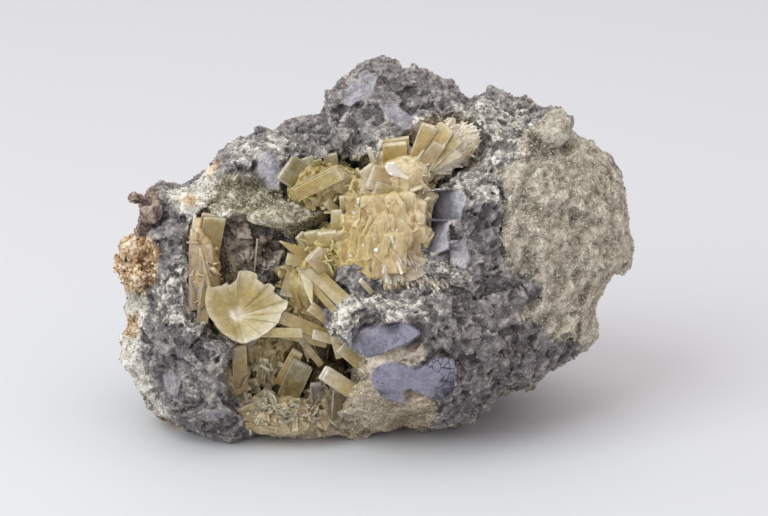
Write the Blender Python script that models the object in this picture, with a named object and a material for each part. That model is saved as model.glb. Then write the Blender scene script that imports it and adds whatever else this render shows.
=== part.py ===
"""Hemimorphite crystals in the hollow of a hand-sized piece of galena ore, lying on its flat underside.

The specimen is modelled in its face frame, in millimetres: x to the right, u up the face, f out of the
face. The face leans back, so the whole frame is tipped about X before it is stood on the ground.
"""

import math

import bmesh
import bpy
import numpy as np
from mathutils import Matrix, Vector, kdtree, noise

MM = 0.001

# Driving dimensions, in millimetres and degrees
FACE_LEAN = 18.0  # the face looks up by this much
GROUND_DROP = 24.6  # from the middle of the face down to the ground
SETBACK = (-0.6, -2.5)  # puts the middle of the footprint box on the origin
BACK_DEPTH = 27.0  # from the outline back to the rear
FRONT_ROUNDING = 3.4  # superellipse exponent from the face to its rim
BACK_ROUNDING = 2.5
ROCK_TRIANGLES = 5150
CRUST_SHARE_KEPT = 0.72  # of the triangles that the joined crystals start with
NODE_GAP = 0.35  # between the rock and the crust
LINING_ROUGHNESS = 0.12  # share of its radius by which a lining lump is uneven
ROOT_LENGTH = 1.6  # how far a crystal reaches down into the lining

# Corners of the outline, clockwise from the top hump (x, u)
OUTLINE = [
    (-3, 26.5), (-1, 27.5), (5.5, 27), (8, 27.5), (10.5, 25.5), (14.5, 22.5), (19, 23.5), (23, 22), (28, 21.5),
    (29.5, 18), (34, 15), (37, 9.5), (37.5, 4.5), (37.5, -1.5), (35.5, -3.5), (32.5, -8.5), (32.5, -12.5),
    (31.5, -14), (27.5, -16), (23, -19.5), (19, -20), (16.5, -23.5), (12, -25), (9, -25.5), (4.5, -25),
    (1, -26), (-4, -27), (-7.5, -27.5), (-13.5, -27), (-16.5, -26), (-21, -27.5), (-24.5, -26.5),
    (-29.5, -24.5), (-31.5, -24), (-34, -20), (-36.5, -15.5), (-37, -12), (-36, -10), (-36.5, -8),
    (-35.5, -6.5), (-37.5, -1.5), (-36.5, 0.5), (-34.5, 3), (-35, 4.5), (-34.5, 8.5), (-32.5, 10),
    (-29.5, 9.5), (-26.5, 11), (-23.5, 13.5), (-21.5, 15.5), (-14, 18.5), (-7.5, 20.5), (-5.5, 23.5),
]

# Forms of the face, each laid over those before it:
# name: centre (x, u), half sizes, turn in degrees, level f at the centre, slope (along x, along u), edge width
FACE_FORMS = {
    "top hump": ((4, 22), (15, 8), 0, 8.5, (0, -0.5), 4),
    "upper left slope": ((-14, 15), (14, 7), 23, 9, (0, -0.5), 3),
    "upper right slope": ((21, 18), (11, 7), -10, 10.5, (0, -0.3), 3),
    "galena by the pocket": ((8.5, 11.5), (5, 4.5), 20, 13, (0, -0.2), 2),
    "galena cleavage": ((12, 4.5), (7, 9), 0, 15, (-0.15, -0.1), 2),
    "dark band": ((17, 2.5), (5, 10), 0, 14.5, (-0.2, 0), 2),
    "right shoulder": ((20.5, 8), (5, 7), 0, 14, (-0.2, 0), 2),
    "pale rind": ((28, 3.5), (9, 15), 8, 13.5, (-0.35, 0.05), 3),
    "rind foot": ((27, -8), (8, 8), 0, 12, (-0.3, 0.1), 3),
    "rind knob": ((25.5, 17.5), (3.5, 3.2), 0, 12.5, (-0.3, 0), 1.5),
    "lower right": ((20, -9), (9, 12), 10, 14, (-0.3, 0.1), 3),
    "lower corner": ((25, -14), (7, 5), 20, 12.5, (-0.3, 0), 3),
    "lower edge": ((14, -20), (9, 5), 30, 13, (0, 0.3), 3),
    "left lobe": ((-26, -12), (12, 17), 10, 14.5, (0.15, 0), 3),
    "left band": ((-33, -13), (3.5, 10), 8, 9, (0.5, 0), 2),
    "ochre knob": ((-34, -1.5), (4, 4), 0, 9, (0.4, 0), 1.5),
    "red corner": ((-32, 6.5), (3.5, 3.5), 0, 8, (0.3, 0), 1.5),
    "white patch": ((-26, 8.5), (5, 4.5), 20, 8.5, (0.2, -0.2), 2),
    "shelf ledge": ((-14, 6), (10.5, 4), -12, 12.5, (0.1, -0.75), 1.5),
    "dark recess": ((-16.5, 1), (6, 4), -15, 7, (0, 0.1), 1.2),
    "recess floor": ((-18, -2), (7, 3), 0, 7, (0, -0.3), 2),
    "main hollow": ((0.5, 3.5), (12, 7), 44, 5, (0, 0), 2.5),
    "hollow west end": ((-6.5, 0), (6, 4), -10, 5, (0, 0), 2),
    "spray seat": ((-6.5, 10.5), (6.5, 3.6), 5, 6.5, (0, 0), 2),
    "upper pocket": ((10, 15), (6.5, 4), 28, 6, (0, 0), 2),
    "fan seat": ((-18.5, -7.5), (7, 5), 0, 6, (0, 0), 2.5),
    "wedge seat": ((-24, -1.5), (2.4, 6.5), 0, 5, (0, 0), 1.5),
    "gap under the starburst": ((-10.5, -6), (4.5, 5), 0, 4, (0, 0), 2),
    "block crown": ((6, -9), (14, 5.2), 4, 17.5, (-0.05, -0.75), 1.8),
    "block face": ((6, -15.5), (14, 8.5), 0, 19.5, (-0.1, 0.12), 3),
    "block foot": ((3, -22.5), (13, 5), 0, 15.5, (0, 0.7), 3),
    "cave": ((-11.5, -17), (9, 7.5), 12, -2, (0, 0), 2.5),
    "cave mouth": ((-10, -12.5), (6.5, 4), 0, 0, (0, 0), 2),
    "cave sill": ((-11, -25), (9.5, 2.6), 0, 9, (0, 0), 1.5),
    "block nose": ((-2.5, -10.5), (4, 2.8), 0, 17, (-0.3, 0), 1.5),
    "centre lump": ((-1.5, -3), (3.8, 3), 0, 15, (0, -0.2), 1.5),
    "round knob": ((-8.5, 15.5), (1.9, 1.9), 0, 10.5, (0, 0), 1.2),
    "second knob": ((-4.5, 16), (2, 2), 0, 11, (0, 0), 1.2),
}

# Broken faces that flatten the back and the sides: direction (x, u, f) and distance from the middle
BREAKS = [
    ((0.25, 0.15, -1.0), 25.5), ((-0.55, 0.25, -0.8), 28.5), ((0.75, 0.2, -0.65), 31.5),
    ((0.1, 0.85, -0.6), 26.5), ((-0.5, 0.75, -0.4), 26.0), ((0.6, 0.7, -0.5), 30.0),
    ((0.55, -0.7, -0.45), 30.0), ((-0.8, -0.2, -0.55), 33.0), ((0.1, -0.5, -0.9), 28.0),
]

# Crystals, each from its root to its tip in (x, u, f), then its width and its thickness
CRYSTALS = {
    "upper left spray": [
        ((-9, 9, 9), (-11, 13.5, 11), 5, 1.5), ((-10.5, 9, 12.5), (-3.5, 12, 14), 2.5, 1.6),
        ((-5.5, 12, 9), (-6, 15, 10), 1.5, 1.2), ((0, 7.5, 11), (-4, 10, 12.5), 2.5, 1.4),
        ((-5, 2.5, 13), (-5, 6, 15), 1.5, 1.2), ((-6, 5.5, 10), (-7, 8, 12), 1.5, 1.2),
        ((0, 10, 12), (-1, 12.5, 14), 2, 1.2), ((1, 12, 12.5), (0, 14.5, 15), 0.6, 0.6),
    ],
    "upper spray": [
        ((3.5, 11.5, 11), (3, 16, 14), 4, 2.4), ((7, 12, 10), (6.5, 15.5, 12), 1.5, 1.4),
        ((7.5, 13, 9.5), (11, 18.5, 11.5), 3, 2), ((8.5, 13, 10.5), (13.5, 16, 12), 2, 1.4),
        ((11, 16, 9), (15, 18, 11), 2, 1.2), ((6, 15, 9), (7.5, 18, 10.5), 1.2, 1),
        ((5, 10.5, 14), (2.5, 13, 16.5), 2, 1.4),
    ],
    "main mass": [
        ((4, 7.5, 13), (-0.5, 11, 16), 3, 1.5), ((5.5, 3.5, 14), (4.5, 8.5, 17), 4.5, 2),
        ((0.5, 2.5, 12), (-1, 8.5, 17), 4, 1.6), ((2.5, 0.5, 13), (-3, 5.5, 16.5), 3, 1.6),
        ((3.5, 0, 13), (-1.5, 1.5, 17), 3, 1.6), ((4, -1, 14), (7, 3.5, 17), 3.5, 1.6),
        ((5, -2.5, 13), (2.5, 2.5, 17.5), 4, 1.8), ((7, -5, 12), (4.5, 0, 16), 3, 1.5),
        ((10, -5, 12), (8, -0.5, 15.5), 2.5, 1.4), ((12, -5.5, 12), (10.5, -2, 14.5), 2.5, 1.3),
        ((7.5, -4.5, 13), (8, 0.5, 16), 0.8, 0.8), ((2, -5, 11), (2.5, -1, 15), 2, 1.4),
        ((-4, -1, 11), (-3, 3.5, 15.5), 2.5, 1.4), ((-1.5, 0.5, 12), (-4, 2.5, 15), 2.5, 1.4),
        ((-3, 4, 12), (-3.5, 8, 15), 1.5, 1.2), ((3, -6.5, 14), (1, -4.5, 15.5), 2, 1),
        ((1, -6.5, 14), (-1.5, -3.5, 16), 0.7, 0.8),
    ],
    "starburst": [
        ((-6.5, -1, 11), (-13, 2, 14), 2, 1.2), ((-6.5, -1, 11), (-11.5, 0.5, 13), 1.5, 1.2),
        ((-6.5, -1, 11), (-10, 2.5, 14), 1.5, 1.2), ((-8.5, -1, 11), (-9, -7, 13), 1.5, 1.4),
        ((-9, -2.5, 12.5), (-3, -8.5, 15.5), 2, 1.8), ((-10.5, -1, 10), (-11, -6.5, 11), 2, 1.4),
        ((-7, -1, 12), (-3.5, 2, 14), 2, 1.4),
    ],
    "left pocket": [
        ((-23.5, 1, 8), (-23, 5.5, 10.5), 3, 1.5), ((-24, -7.5, 9), (-26, 4, 11), 3.5, 2),
        ((-23, -9, 9), (-24.5, -4.5, 11), 2, 1.4),
    ],
    "cave": [
        ((-16, -17.5, 1), (-16.5, -12, 6), 5, 1.6), ((-12, -16.5, 0), (-12.5, -12, 5), 4.5, 1.4),
        ((-11, -20, 3), (-11, -15, 7), 4, 1.6), ((-13, -17, 4), (-11, -13.5, 7.5), 1, 1.2),
        ((-10, -13.5, 4), (-8, -15.5, 8), 1, 1.2), ((-19.5, -20, 4), (-19.5, -13, 8), 2, 1.4),
        ((-18.5, -20, 3), (-18.5, -14, 6), 1.5, 1.2), ((-7, -25, 4), (-7, -19, 5), 5, 1.6),
        ((-4, -19, 9), (-7, -17.5, 10), 2, 1.6), ((-17.5, -21, 7), (-10, -21.5, 9), 1, 1),
        ((-16, -24.5, 7), (-14, -22, 9), 2, 1.4), ((-12, -25, 7), (-10.5, -22, 9), 2, 1.4),
        ((-5.5, -11, 8), (-11.5, -9.5, 7), 1.2, 1.4), ((-5.5, -12, 10), (-8.5, -11, 11), 1.5, 1.4),
        ((-4, -14.5, 11), (-5.5, -12, 12), 2, 1.4), ((-17, -11.5, 11), (-10.5, -11, 12), 1, 1.2),
        ((-15, -9.5, 11), (-9, -9.5, 13), 1, 1.2),
    ],
}

# Fans of blades that share a root: root, lift of the tips, width, thickness, then (angle, length) of each blade
FANS = {
    "yellow fan": ((-19, -9.5, 10), 4, 2.4, 1.2, [
        (-20, 4.5), (2, 7), (26, 8), (48, 7.2), (64, 8), (77, 7), (90, 7.2), (104, 5.8), (118, 5.6),
        (134, 5), (152, 4.6),
    ]),
    "pale rosette": ((-15, -20, 4), 5, 1.8, 1.2, [(45, 3.6), (68, 4.2), (95, 4.6), (120, 3.6), (20, 3)]),
}

# Lumps of the drusy lining under the crystals: centre (x, u, f), half sizes, turn in degrees
LINING = [
    ((2, 3, 9.5), (6.5, 7, 5), 0), ((4.5, 11.5, 9), (5, 3.5, 4.5), 20), ((10.5, 15, 7.5), (5.5, 3, 3.5), 25),
    ((-6.5, -0.5, 8), (5, 4, 4.5), 0), ((-7, 9.5, 8), (6, 3.5, 4), 5), ((-18.5, -8.5, 8), (5, 3.5, 4), 0),
    ((-24.5, -2, 7), (2.6, 7.5, 3.5), 5), ((-12, -16.5, -1), (9, 7, 4.5), 10), ((-13, -23.5, 5.5), (7, 3, 4), 0),
    ((-6, -20.5, 3.5), (3.5, 5, 4.5), 0), ((-10.5, -10, 5), (7, 3, 4.5), 0), ((8.5, -3, 10), (5.5, 3.5, 4), 10),
    ((-2.5, 2, 9), (5, 4, 4), 0), ((-20, -17, 3), (3, 6, 4.5), 0), ((-1, 7.5, 9), (4, 4, 4), 0),
    ((-16, -13, 3), (6, 5, 5), 0), ((-10.5, -5.5, 6), (4, 4.5, 4.5), 0), ((8.5, 4.5, 10), (4, 7, 4.5), 0),
]


def face_to_world(points):
    """Face-frame millimetres to metres above the ground."""
    lean = math.radians(FACE_LEAN)
    x, u, f = np.asarray(points, float).T
    y = u * math.sin(lean) - f * math.cos(lean)
    z = u * math.cos(lean) + f * math.sin(lean)
    return np.column_stack([x + SETBACK[0], y + SETBACK[1], z + GROUND_DROP]) * MM


def smooth_step(share):
    share = np.clip(share, 0, 1)
    return share * share * (3 - 2 * share)


def noise_field(points, size, offset):
    """Soft random values from -1 to 1 that change over about `size` millimetres."""
    return np.array([noise.noise(Vector(point) / size + Vector((offset, 0, 0))) for point in points])


def facet_field(points, cell, seed):
    """Heights of a surface broken into tilted planes about `cell` millimetres across, roughly from -1 to 1."""
    random = np.random.default_rng(seed)
    low, high = points.min(axis=0) - cell, points.max(axis=0) + cell
    count = int(np.prod((high - low) / cell))
    centres = random.uniform(low, high, (count, 3))
    tilts = random.normal(0, 0.7, (count, 3))
    steps = random.uniform(-0.5, 0.5, count)
    tree = kdtree.KDTree(count)
    for index, centre in enumerate(centres):
        tree.insert(centre, index)
    tree.balance()
    nearest = np.array([tree.find(point)[1] for point in points])
    return steps[nearest] + ((points - centres[nearest]) * tilts[nearest]).sum(axis=1) / cell


def outline_radius(angles):
    """Distance of the outline from the middle of the face at these angles."""
    corners = np.array(OUTLINE, float)
    corner_angles = np.arctan2(corners[:, 1], corners[:, 0])
    return np.interp(angles, *sorted_by_angle(corner_angles, np.hypot(*corners.T)), period=2 * math.pi)


def sorted_by_angle(angles, radii):
    order = np.argsort(angles)
    return angles[order], radii[order]


def face_level(x, u, ragged):
    """Level f of the face at each (x, u), before its rim is rounded off."""
    level = np.full(len(x), 12.0)
    for centre, half_sizes, turn, middle, slope, edge in FACE_FORMS.values():
        across, up = x - centre[0], u - centre[1]
        cosine, sine = math.cos(math.radians(turn)), math.sin(math.radians(turn))
        share = np.hypot(
            (across * cosine + up * sine) / half_sizes[0], (up * cosine - across * sine) / half_sizes[1]
        )
        inside = (1 - share - 0.16 * ragged) * min(half_sizes)
        weight = smooth_step(inside / edge + 0.5)
        level += (middle + slope[0] * across + slope[1] * up - level) * weight
    return level


def rock_points(directions):
    """Maps unit directions (x, u, f) onto the surface of the rock."""
    sideways = np.hypot(directions[:, 0], directions[:, 1])
    front = directions[:, 2] >= 0
    angles = np.arctan2(directions[:, 1], directions[:, 0])
    tilt = np.arctan2(sideways, np.abs(directions[:, 2]))
    power = np.where(front, 2 / FRONT_ROUNDING, 2 / BACK_ROUNDING)
    reach = outline_radius(angles) * np.sin(tilt) ** power
    x, u = reach * np.cos(angles), reach * np.sin(angles)
    rounding = np.cos(tilt).clip(0) ** power
    flat = np.column_stack([x, u, np.zeros(len(x))])
    ragged = noise_field(flat, 3.5, 11.0)
    depth = np.where(front, face_level(x, u, ragged), -BACK_DEPTH)
    return np.column_stack([x, u, depth * rounding])


def break_back(points):
    """Flattens the rock against its broken faces."""
    for direction, distance in BREAKS:
        direction = np.array(direction) / np.linalg.norm(direction)
        excess = (points @ direction - distance).clip(0)
        points = points - np.outer(excess * 0.85, direction)
    return points


def link(name, mesh):
    made = bpy.data.objects.new(name, mesh)
    bpy.context.scene.collection.objects.link(made)
    return made


def hide_helper(helper):
    helper.hide_render = True
    helper.display_type = "WIRE"


def mesh_from(shape, name):
    mesh = bpy.data.meshes.new(name)
    shape.to_mesh(mesh)
    shape.free()
    return mesh


def vertex_array(mesh, source="co"):
    values = np.empty(len(mesh.vertices) * 3, np.float32)
    if source == "normal":
        mesh.vertex_normals.foreach_get("vector", values)
    else:
        mesh.vertices.foreach_get("co", values)
    return values.reshape(-1, 3).astype(float)


def place_vertices(mesh, points):
    mesh.vertices.foreach_set("co", points.astype(np.float32).ravel())
    mesh.update()


def evaluated_mesh(source, name):
    """The object's mesh with its modifiers applied."""
    graph = bpy.context.evaluated_depsgraph_get()
    return bpy.data.meshes.new_from_object(source.evaluated_get(graph), depsgraph=graph)


def make_rock_body():
    """The rock in the face frame, in millimetres, before its underside is cut flat."""
    shape = bmesh.new()
    bmesh.ops.create_icosphere(shape, subdivisions=7, radius=1)
    mesh = mesh_from(shape, "rock_body")
    body = link("rock_body", mesh)
    place_vertices(mesh, break_back(rock_points(vertex_array(mesh))))
    points, normals = vertex_array(mesh), vertex_array(mesh, "normal")
    front = smooth_step(points[:, 2] / 6 + 0.5)
    coarse = facet_field(points, 8.5, seed=3) * (1.3 - 0.9 * front)
    fine = facet_field(points, 3.2, seed=8) * 0.4
    grain = noise_field(points, 2.4, 31.0) * 0.35
    place_vertices(mesh, points + normals * (coarse + fine + grain)[:, None])
    thinning = body.modifiers.new("Thin out", "DECIMATE")
    thinning.ratio = ROCK_TRIANGLES / len(mesh.polygons)
    body.data = evaluated_mesh(body, "rock_body")
    body.modifiers.clear()
    return body


def make_blade(root, tip, width, thickness, turn=0.0):
    """A flat crystal blade with a chisel end, its broad face turned to the viewer, then about its length."""
    root, tip = Vector(root), Vector(tip)
    along = (tip - root).normalized()
    length = (tip - root).length + ROOT_LENGTH
    across = along.cross(Vector((0, 0, 1))).normalized()
    across.rotate(Matrix.Rotation(math.radians(turn), 3, along))
    shape = bmesh.new()
    bmesh.ops.create_cube(shape, size=1)
    bmesh.ops.scale(shape, vec=(width, thickness, length - 0.5), verts=shape.verts)
    bmesh.ops.translate(shape, vec=(0, 0, (length - 0.5) / 2), verts=shape.verts)
    end = max(shape.faces, key=lambda face: face.calc_center_median().z)
    chisel = bmesh.ops.extrude_discrete_faces(shape, faces=[end])["faces"][0]
    bmesh.ops.translate(shape, vec=(0, 0, 0.5), verts=chisel.verts)
    bmesh.ops.scale(shape, vec=(0.84, 0.35, 1), verts=chisel.verts)
    stand = Matrix((across, across.cross(along), along)).transposed().to_4x4()
    stand.translation = root - along * ROOT_LENGTH
    bmesh.ops.transform(shape, matrix=stand, verts=shape.verts)
    bmesh.ops.recalc_face_normals(shape, faces=shape.faces)
    return shape


def crystal_shapes():
    """Every blade of every group, with small turns that differ from blade to blade."""
    random = np.random.default_rng(21)
    shapes = []
    for rows in CRYSTALS.values():
        for root, tip, width, thickness in rows:
            shapes.append(make_blade(root, tip, width, thickness, random.uniform(-25, 25)))
    for root, lift, width, thickness, blades in FANS.values():
        for angle, length in blades:
            reach = Vector((math.cos(math.radians(angle)) * length, math.sin(math.radians(angle)) * length, lift))
            shapes.append(make_blade(root, Vector(root) + reach, width, thickness, random.uniform(-15, 15)))
    return shapes


def lining_shape(centre, half_sizes, turn, seed):
    """One uneven lump of the lining."""
    random = np.random.default_rng(seed)
    shape = bmesh.new()
    bmesh.ops.create_icosphere(shape, subdivisions=2, radius=1)
    for vert in shape.verts:
        vert.co *= 1 + random.uniform(-LINING_ROUGHNESS, LINING_ROUGHNESS)
    bmesh.ops.scale(shape, vec=half_sizes, verts=shape.verts)
    place = Matrix.Translation(centre) @ Matrix.Rotation(math.radians(turn), 4, "Z")
    bmesh.ops.transform(shape, matrix=place, verts=shape.verts)
    return shape


def keep_largest_piece(mesh):
    """Drops the crumbs that a Boolean leaves beside the main body."""
    shape = bmesh.new()
    shape.from_mesh(mesh)
    waiting, pieces = set(shape.verts), []
    while waiting:
        piece, edge_of_piece = set(), [waiting.pop()]
        while edge_of_piece:
            vert = edge_of_piece.pop()
            piece.add(vert)
            found = {edge.other_vert(vert) for edge in vert.link_edges} & waiting
            waiting -= found
            edge_of_piece.extend(found)
        pieces.append(piece)
    pieces.sort(key=len)
    print("crust pieces, in vertices:", [len(piece) for piece in pieces])
    for piece in pieces[:-1]:
        bmesh.ops.delete(shape, geom=list(piece), context="VERTS")
    shape.to_mesh(mesh)
    shape.free()


def make_crust(rock_body):
    """The lining and its crystals as one body, cut back from the rock by the gap."""
    shapes = [lining_shape(*lump, seed) for seed, lump in enumerate(LINING)] + crystal_shapes()
    crust = link("hemimorphite_crystals", mesh_from(shapes[0], "hemimorphite_crystals"))
    added = bpy.data.collections.new("crust_shapes")
    bpy.context.scene.collection.children.link(added)
    for number, shape in enumerate(shapes[1:]):
        helper = bpy.data.objects.new(f"crust_shape_{number}", mesh_from(shape, "crust_shape"))
        added.objects.link(helper)
        hide_helper(helper)
    union = crust.modifiers.new("Grow together", "BOOLEAN")
    union.operation, union.solver = "UNION", "EXACT"
    union.operand_type, union.collection = "COLLECTION", added
    crust.modifiers.new("Thin out", "DECIMATE").ratio = CRUST_SHARE_KEPT
    seat = link("rock_with_gap", rock_body.data.copy())
    hide_helper(seat)
    place_vertices(seat.data, vertex_array(seat.data) + vertex_array(seat.data, "normal") * NODE_GAP)
    cut = crust.modifiers.new("Sit on the rock", "BOOLEAN")
    cut.operation, cut.solver, cut.object = "DIFFERENCE", "EXACT", seat
    cut.use_self = True
    crust.data = evaluated_mesh(crust, "hemimorphite_crystals")
    crust.modifiers.clear()
    keep_largest_piece(crust.data)
    for helper in list(added.objects) + [seat]:
        bpy.data.objects.remove(helper)
    bpy.data.collections.remove(added)
    return crust


def make_ground_cutter():
    """Everything below the ground, so that the rock gets one flat face to lie on."""
    side = 0.2
    shape = bmesh.new()
    bmesh.ops.create_cube(shape, size=side)
    bmesh.ops.translate(shape, vec=(0, 0, -side / 2), verts=shape.verts)
    cutter = link("ground_cutter", mesh_from(shape, "ground_cutter"))
    hide_helper(cutter)
    return cutter


def set_material(part, name, colour, roughness, metallic, transmission=0.0, ior=1.5):
    material = bpy.data.materials.new(name)
    material.use_nodes = True
    shader = material.node_tree.nodes["Principled BSDF"]
    shader.inputs["Base Color"].default_value = (*colour, 1)
    shader.inputs["Roughness"].default_value = roughness
    shader.inputs["Metallic"].default_value = metallic
    shader.inputs["Transmission Weight"].default_value = transmission
    shader.inputs["IOR"].default_value = ior
    part.data.materials.clear()
    part.data.materials.append(material)


def main():
    for item in list(bpy.data.objects):
        bpy.data.objects.remove(item)
    rock = make_rock_body()
    rock.name = "galena_matrix"
    crust = make_crust(rock)
    for part in (rock, crust):
        place_vertices(part.data, face_to_world(vertex_array(part.data)))
    flat_base = rock.modifiers.new("Flat base", "BOOLEAN")
    flat_base.operation, flat_base.solver, flat_base.object = "DIFFERENCE", "EXACT", make_ground_cutter()
    set_material(rock, "grey galena", (0.19, 0.185, 0.2), 0.45, 0.35)
    set_material(crust, "honey hemimorphite", (0.62, 0.44, 0.17), 0.2, 0.0, transmission=0.6, ior=1.62)


main()
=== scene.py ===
import math

import bmesh
import bpy
import numpy as np
from mathutils import Matrix, Vector, kdtree, noise


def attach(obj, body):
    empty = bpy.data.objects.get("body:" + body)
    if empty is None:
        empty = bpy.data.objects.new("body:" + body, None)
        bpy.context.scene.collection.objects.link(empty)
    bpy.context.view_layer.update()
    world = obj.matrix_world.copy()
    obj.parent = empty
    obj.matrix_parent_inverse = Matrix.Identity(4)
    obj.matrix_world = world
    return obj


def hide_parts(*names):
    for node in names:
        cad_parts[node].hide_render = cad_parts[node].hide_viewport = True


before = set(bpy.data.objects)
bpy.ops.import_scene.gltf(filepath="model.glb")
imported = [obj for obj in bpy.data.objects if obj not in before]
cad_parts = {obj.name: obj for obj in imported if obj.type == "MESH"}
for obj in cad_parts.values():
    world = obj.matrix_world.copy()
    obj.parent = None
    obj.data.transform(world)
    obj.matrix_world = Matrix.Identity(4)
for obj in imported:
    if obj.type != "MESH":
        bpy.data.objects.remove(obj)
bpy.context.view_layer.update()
print("frame loaded:", ", ".join(sorted(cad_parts)))

mm = 0.001
face = {"lean": math.radians(18), "drop": 24.6, "setBack": (-0.6, -2.5)}  # millimetres, as in the CAD


# Coordinates: x to the right, u up the face, f out of the face, in millimetres

def faceToWorld(points):
    x, u, f = np.asarray(points, float).T
    sine, cosine = math.sin(face["lean"]), math.cos(face["lean"])
    right, back = face["setBack"]
    y, z = u * sine - f * cosine + back, u * cosine + f * sine + face["drop"]
    return np.column_stack([x + right, y, z]) * mm


def worldToFace(points):
    x, y, z = np.asarray(points, float).T / mm
    sine, cosine = math.sin(face["lean"]), math.cos(face["lean"])
    right, back = face["setBack"]
    y, z = y - back, z - face["drop"]
    return np.column_stack([x - right, y * sine + z * cosine, z * sine - y * cosine])


def readPoints(mesh):
    values = np.empty(len(mesh.vertices) * 3, np.float32)
    mesh.vertices.foreach_get("co", values)
    return values.reshape(-1, 3).astype(float)


def readNormals(mesh):
    values = np.empty(len(mesh.vertices) * 3, np.float32)
    mesh.vertex_normals.foreach_get("vector", values)
    return values.reshape(-1, 3).astype(float)


def aboveGround(points):
    return np.maximum(points, (-1, -1, 0))


def writePoints(mesh, points):
    mesh.vertices.foreach_set("co", aboveGround(points).astype(np.float32).ravel())
    mesh.update()


fieldKinds = {1: ("FLOAT", "value"), 3: ("FLOAT_VECTOR", "vector"), 4: ("FLOAT_COLOR", "color")}


def writeField(mesh, name, values):  # one number, place or colour for each point
    kind, key = fieldKinds[1 if values.ndim == 1 else values.shape[1]]
    layer = mesh.attributes.new(name, kind, "POINT")
    layer.data.foreach_set(key, values.astype(np.float32).ravel())


def newObject(name, mesh):
    made = bpy.data.objects.new(name, mesh)
    bpy.context.scene.collection.objects.link(made)
    return made


def meshFrom(shape, name):
    mesh = bpy.data.meshes.new(name)
    shape.to_mesh(mesh)
    shape.free()
    return mesh


def applyModifiers(piece):
    graph = bpy.context.evaluated_depsgraph_get()
    mesh = bpy.data.meshes.new_from_object(piece.evaluated_get(graph), depsgraph=graph)
    piece.modifiers.clear()
    piece.data = mesh


def voxelRemesh(piece, voxel, smoothing):
    remesh = piece.modifiers.new("Remesh", "REMESH")
    remesh.mode, remesh.voxel_size = "VOXEL", voxel * mm
    soften = piece.modifiers.new("Smooth", "SMOOTH")
    soften.factor, soften.iterations = 0.5, smoothing
    applyModifiers(piece)


def thinOut(piece, triangles):
    count = sum(len(polygon.vertices) - 2 for polygon in piece.data.polygons)
    piece.modifiers.new("Thin out", "DECIMATE").ratio = min(1, triangles / count)
    applyModifiers(piece)


# Many shapes in one mesh

def newGather():
    return {"points": [], "faces": [], "count": 0, "fields": {}}


def addToGather(gather, points, faces, fields):
    gather["points"].append(points)
    gather["faces"].extend([[index + gather["count"] for index in corners] for corners in faces])
    gather["count"] += len(points)
    for name, values in fields.items():
        gather["fields"].setdefault(name, []).append(values)


def gatherObject(name, gather):
    mesh = bpy.data.meshes.new(name)
    mesh.from_pydata(aboveGround(np.concatenate(gather["points"])).tolist(), [], gather["faces"])
    for field, parts in gather["fields"].items():
        writeField(mesh, field, np.concatenate(parts))
    return newObject(name, mesh)


def shapeArrays(shape):
    shape.verts.index_update()
    points = np.array([vert.co[:] for vert in shape.verts])
    faces = [[vert.index for vert in polygon.verts] for polygon in shape.faces]
    shape.free()
    return points, faces


def randomTurns(random, count):
    w, x, y, z = random.normal(0, 1, (4, count))
    length = np.sqrt(w * w + x * x + y * y + z * z)
    w, x, y, z = w / length, x / length, y / length, z / length
    return np.array([
        [1 - 2 * (y * y + z * z), 2 * (x * y - z * w), 2 * (x * z + y * w)],
        [2 * (x * y + z * w), 1 - 2 * (x * x + z * z), 2 * (y * z - x * w)],
        [2 * (x * z - y * w), 2 * (y * z + x * w), 1 - 2 * (x * x + y * y)],
    ]).transpose(2, 0, 1)


def turnsAlong(random, directions):  # third column along each direction, a random twist about it
    along = directions / np.linalg.norm(directions, axis=1, keepdims=True)
    side = np.cross(along, random.normal(0, 1, along.shape))
    side /= np.linalg.norm(side, axis=1, keepdims=True)
    return np.stack([side, np.cross(along, side), along], axis=2)


def scatterObject(name, template, places, turns, sizes, fields):  # in metres
    points, faces = template
    many = len(places)
    placed = np.einsum("nij,nkj->nki", turns, points[None] * sizes[:, None, :]) + places[:, None, :]
    mesh = bpy.data.meshes.new(name)
    corners = np.array([len(polygon) for polygon in faces])
    flat = np.concatenate([np.array(polygon) for polygon in faces])
    loops = (flat[None] + (np.arange(many) * len(points))[:, None]).ravel()
    starts = np.concatenate([[0], np.cumsum(np.tile(corners, many))[:-1]])
    mesh.vertices.add(many * len(points))
    mesh.vertices.foreach_set("co", aboveGround(placed.reshape(-1, 3)).astype(np.float32).ravel())
    mesh.loops.add(len(loops))
    mesh.loops.foreach_set("vertex_index", loops.astype(np.int32))
    mesh.polygons.add(many * len(faces))
    mesh.polygons.foreach_set("loop_start", starts.astype(np.int32))
    mesh.update(calc_edges=True)
    for field, values in fields.items():
        writeField(mesh, field, np.repeat(values, len(points), axis=0))
    print(name + ":", many * int((corners - 2).sum()), "triangles")
    return newObject(name, mesh)


def samplePlaces(mesh, weights, count, random):  # places and normals spread over the weighted surface
    points, normals = readPoints(mesh), readNormals(mesh)
    mesh.calc_loop_triangles()
    triangles = np.empty(len(mesh.loop_triangles) * 3, np.int32)
    mesh.loop_triangles.foreach_get("vertices", triangles)
    triangles = triangles.reshape(-1, 3)
    corners = points[triangles]
    sides = corners[:, 1:] - corners[:, :1]
    area = np.linalg.norm(np.cross(sides[:, 0], sides[:, 1]), axis=1)
    share = area * weights[triangles].mean(axis=1)
    chosen = random.choice(len(triangles), count, p=share / share.sum())
    mix = random.dirichlet((1, 1, 1), count)[..., None]
    return (corners[chosen] * mix).sum(axis=1), (normals[triangles[chosen]] * mix).sum(axis=1)


crumbLook = {"uneven": 0.22}
bladeLook = {"spread": 1.25, "tipShift": (0.06, 0, 0.14), "tipSize": (0.62, 0.3, 1)}


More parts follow.
